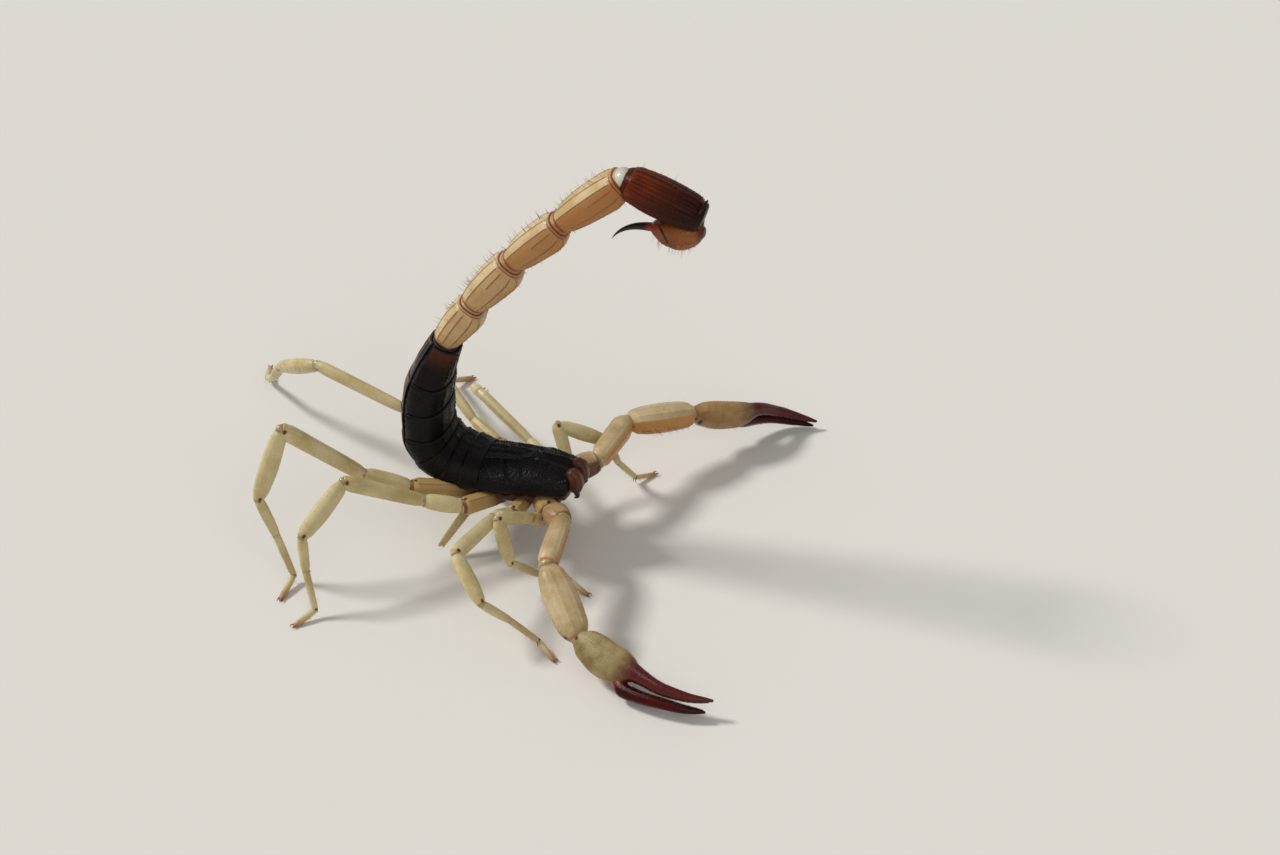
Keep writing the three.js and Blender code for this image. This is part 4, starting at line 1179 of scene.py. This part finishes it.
def make_leg(side, index, folds, hairs):
    sign, pair = SIDES[side], LEG_PAIRS[index]
    hip, _, girth = pair
    steps = leg_steps(sign, pair, LEG_POSES[f"{side}_{index + 1}"])
    joints = chain(mirrored(hip, sign), steps)
    aside = unit(np.cross(steps[1], steps[2]))
    label = f"leg_{side}_{index + 1}"
    shapes = {part: Shape() for part in ("femur", "patella", "tarsus")}
    claws = Shape()
    for i, part in enumerate(("femur", "femur", "patella", "tarsus", "tarsus", "tarsus")):
        shape, fine = shapes[part], i > 2
        tube = bone(joints[i], joints[i + 1], aside, scaled(LEG_ROWS[i], girth, girth), 2.3)
        up = tube.axes(0)[1]
        below, down = (270, -up) if up[2] > 0 else (90, up)
        ridges = [] if fine else [(below + a, 0.05, 8, 0.08, 0.93) for a in (-18, 18, 162, 198)]
        relief, ridge = ridges_on(tube, ridges, 0.55, grain=0 if fine else 0.006)
        far = [(0.98, a, 0.3 * girth) for a in (0, 180)]
        near = [(0.03, a, 0.18 * girth) for a in (0, 180)]
        knuckle = [(0.985, a, 0.26 * girth) for a in (0, 90, 180, 270)]
        skin(shape, tube, *((50, 36) if fine else (70, 52)), relief, (0.3 * girth, 0.3 * girth),
             ridge=ridge, rim=ends(tube, 0.06, 0.08, 0.45), tip=fade(0.3, 1, 0.7) if i == 5 else 0,
             spot=dots(tube, ([], far + near, far + near, near, knuckle, [])[i]))
        stud_rows(shape, tube, ridges, 0.42, 0.032, 0.028, relief, wander=1.5, tone=0.4)
        hairs.grow(tube, 18 if fine else 12, (0.08, 0.97), (0, 360), 0.4, 0.012, 0.6)
        if i > 3:
            hairs.grow(tube, 22, (0.1, 0.95), (below - 35, below + 35), 0.4, 0.016, 0.7)
        if i == 4 or (i == 3 and index > 1):
            make_spurs(claws, tube, joints[i + 1], down, girth)
    make_claws(claws, joints[6], steps[5])
    for part, shape in shapes.items():
        make_object(f"{label}_{part}", shape, "leg")
    make_object(None, claws, "claw", f"{label}_claws")

    directions = [unit(step) for step in (joints[0] - mirrored(COXA_ROOTS[index], sign), *steps)]
    for k, (w, h) in enumerate(LEG_FOLDS):
        rows = scaled([(0, w, h), (0.5, 1.08 * w, 1.2 * h), (1, w, h)], girth, girth)
        sleeve(folds, joints[k], directions[k], directions[k + 1], 0.55 * girth, rows, aside)


# ---- the whole animal ----

bristles, hairs, leg_hairs, palp_hairs, face_hairs = Coat(), Coat(), Coat(12), Coat(), Coat()
folds = Shape()

make_carapace()
make_eyes()
make_chelicerae(face_hairs)
make_coxosternum()
make_trunk()
make_pectines()
make_tail(bristles)
make_telson(hairs)
for side in SIDES:
    make_palp(side, palp_hairs, folds)
    for index in range(len(LEG_PAIRS)):
        make_leg(side, index, folds, leg_hairs)

# The outer side of the last tail joint is held open by the bend, and shows a swollen membrane.
swelling = Shape()
ball(swelling, TAIL_POINTS[4] + 0.35 * Z, [1.5, 1.2, 1.25], (Y, X, Z), rings=20, sides=32)
make_object(None, swelling, "tail_membrane", "tail_membrane")
tail_headings = [backward(METASOMA[index][1]) for index in (0, 0, 1, 2, 3, 4)]
for joint, inward, outward in zip(TAIL_POINTS[:4], tail_headings, tail_headings[1:]):
    sleeve(folds, joint, inward, outward, 0.7, [(0, 1.35, 1.1), (0.5, 1.4, 1.15), (1, 1.35, 1.1)], Y)
make_object(None, folds, "membrane", "joint_membranes")
neck = Shape()
sleeve(neck, TAIL_POINTS[-1] + VESICLE_DROP / 2 - 0.4 * X, tail_headings[-1], backward(VESICLE_HEADING), 0.8,
       [(0, 1, 0.9), (0.5, 1.1, 1), (1, 0.9, 0.8)], Y)
make_object(None, neck, "tail_end", name="vesicle_neck")

bristles.make("tail_bristles", "bristle", "tail")
hairs.make("vesicle_hairs", "hair", "vesicle")
leg_hairs.make("leg_hairs", "hair", "limb")
palp_hairs.make("palp_hairs", "bristle", "limb")
face_hairs.make("chelicera_hairs", "hair", "chelicera")

# ---- floor, light and camera ----

HALF_FLOOR = 1.5
floor_mesh = bpy.data.meshes.new("floor")
corners = [(x * HALF_FLOOR, y * HALF_FLOOR, 0) for x, y in ((-1, -1), (1, -1), (1, 1), (-1, 1))]
floor_mesh.from_pydata(corners, [], [(0, 1, 2, 3)])
paper, paper_shader = new_material("floor_paper")
fill(paper_shader, {"Base Color": linear((226, 222, 214)), "Roughness": 0.9})
floor_mesh.materials.append(paper)
link("floor", floor_mesh)

world = bpy.data.worlds.new("studio")
world.use_nodes = True
bpy.context.scene.world = world
fill(world.node_tree.nodes["Background"], {"Color": (1, 1, 1, 1), "Strength": 0.34})


def add_sun(name, strength, spread, turn, rise):
    """A soft lamp that shines from an azimuth and a height over the floor, in degrees."""
    lamp = bpy.data.lights.new(name, "SUN")
    lamp.energy = strength
    lamp.angle = math.radians(spread)
    link(name, lamp).rotation_euler = Vector(direction(turn, rise)).to_track_quat("Z", "Y").to_euler()


add_sun("key", 2.2, 12, 184, 46)
add_sun("fill", 0.5, 40, -60, 40)

VIEW_TURN, VIEW_RISE, VIEW_DISTANCE = 17, 36.3, 0.45
aim = Vector((np.array([13.6, 27.2, 0]) + SHIFT) * MM)
toward = -Vector(direction(VIEW_TURN + 90, -VIEW_RISE))
lens = bpy.data.cameras.new("camera")
lens.lens = 93
lens.sensor_width = 36
lens.clip_start = 0.01
camera = link("camera", lens)
camera.location = aim + VIEW_DISTANCE * toward
camera.rotation_euler = toward.to_track_quat("Z", "Y").to_euler()
bpy.context.scene.camera = camera
bpy.context.scene.view_settings.view_transform = "Standard"
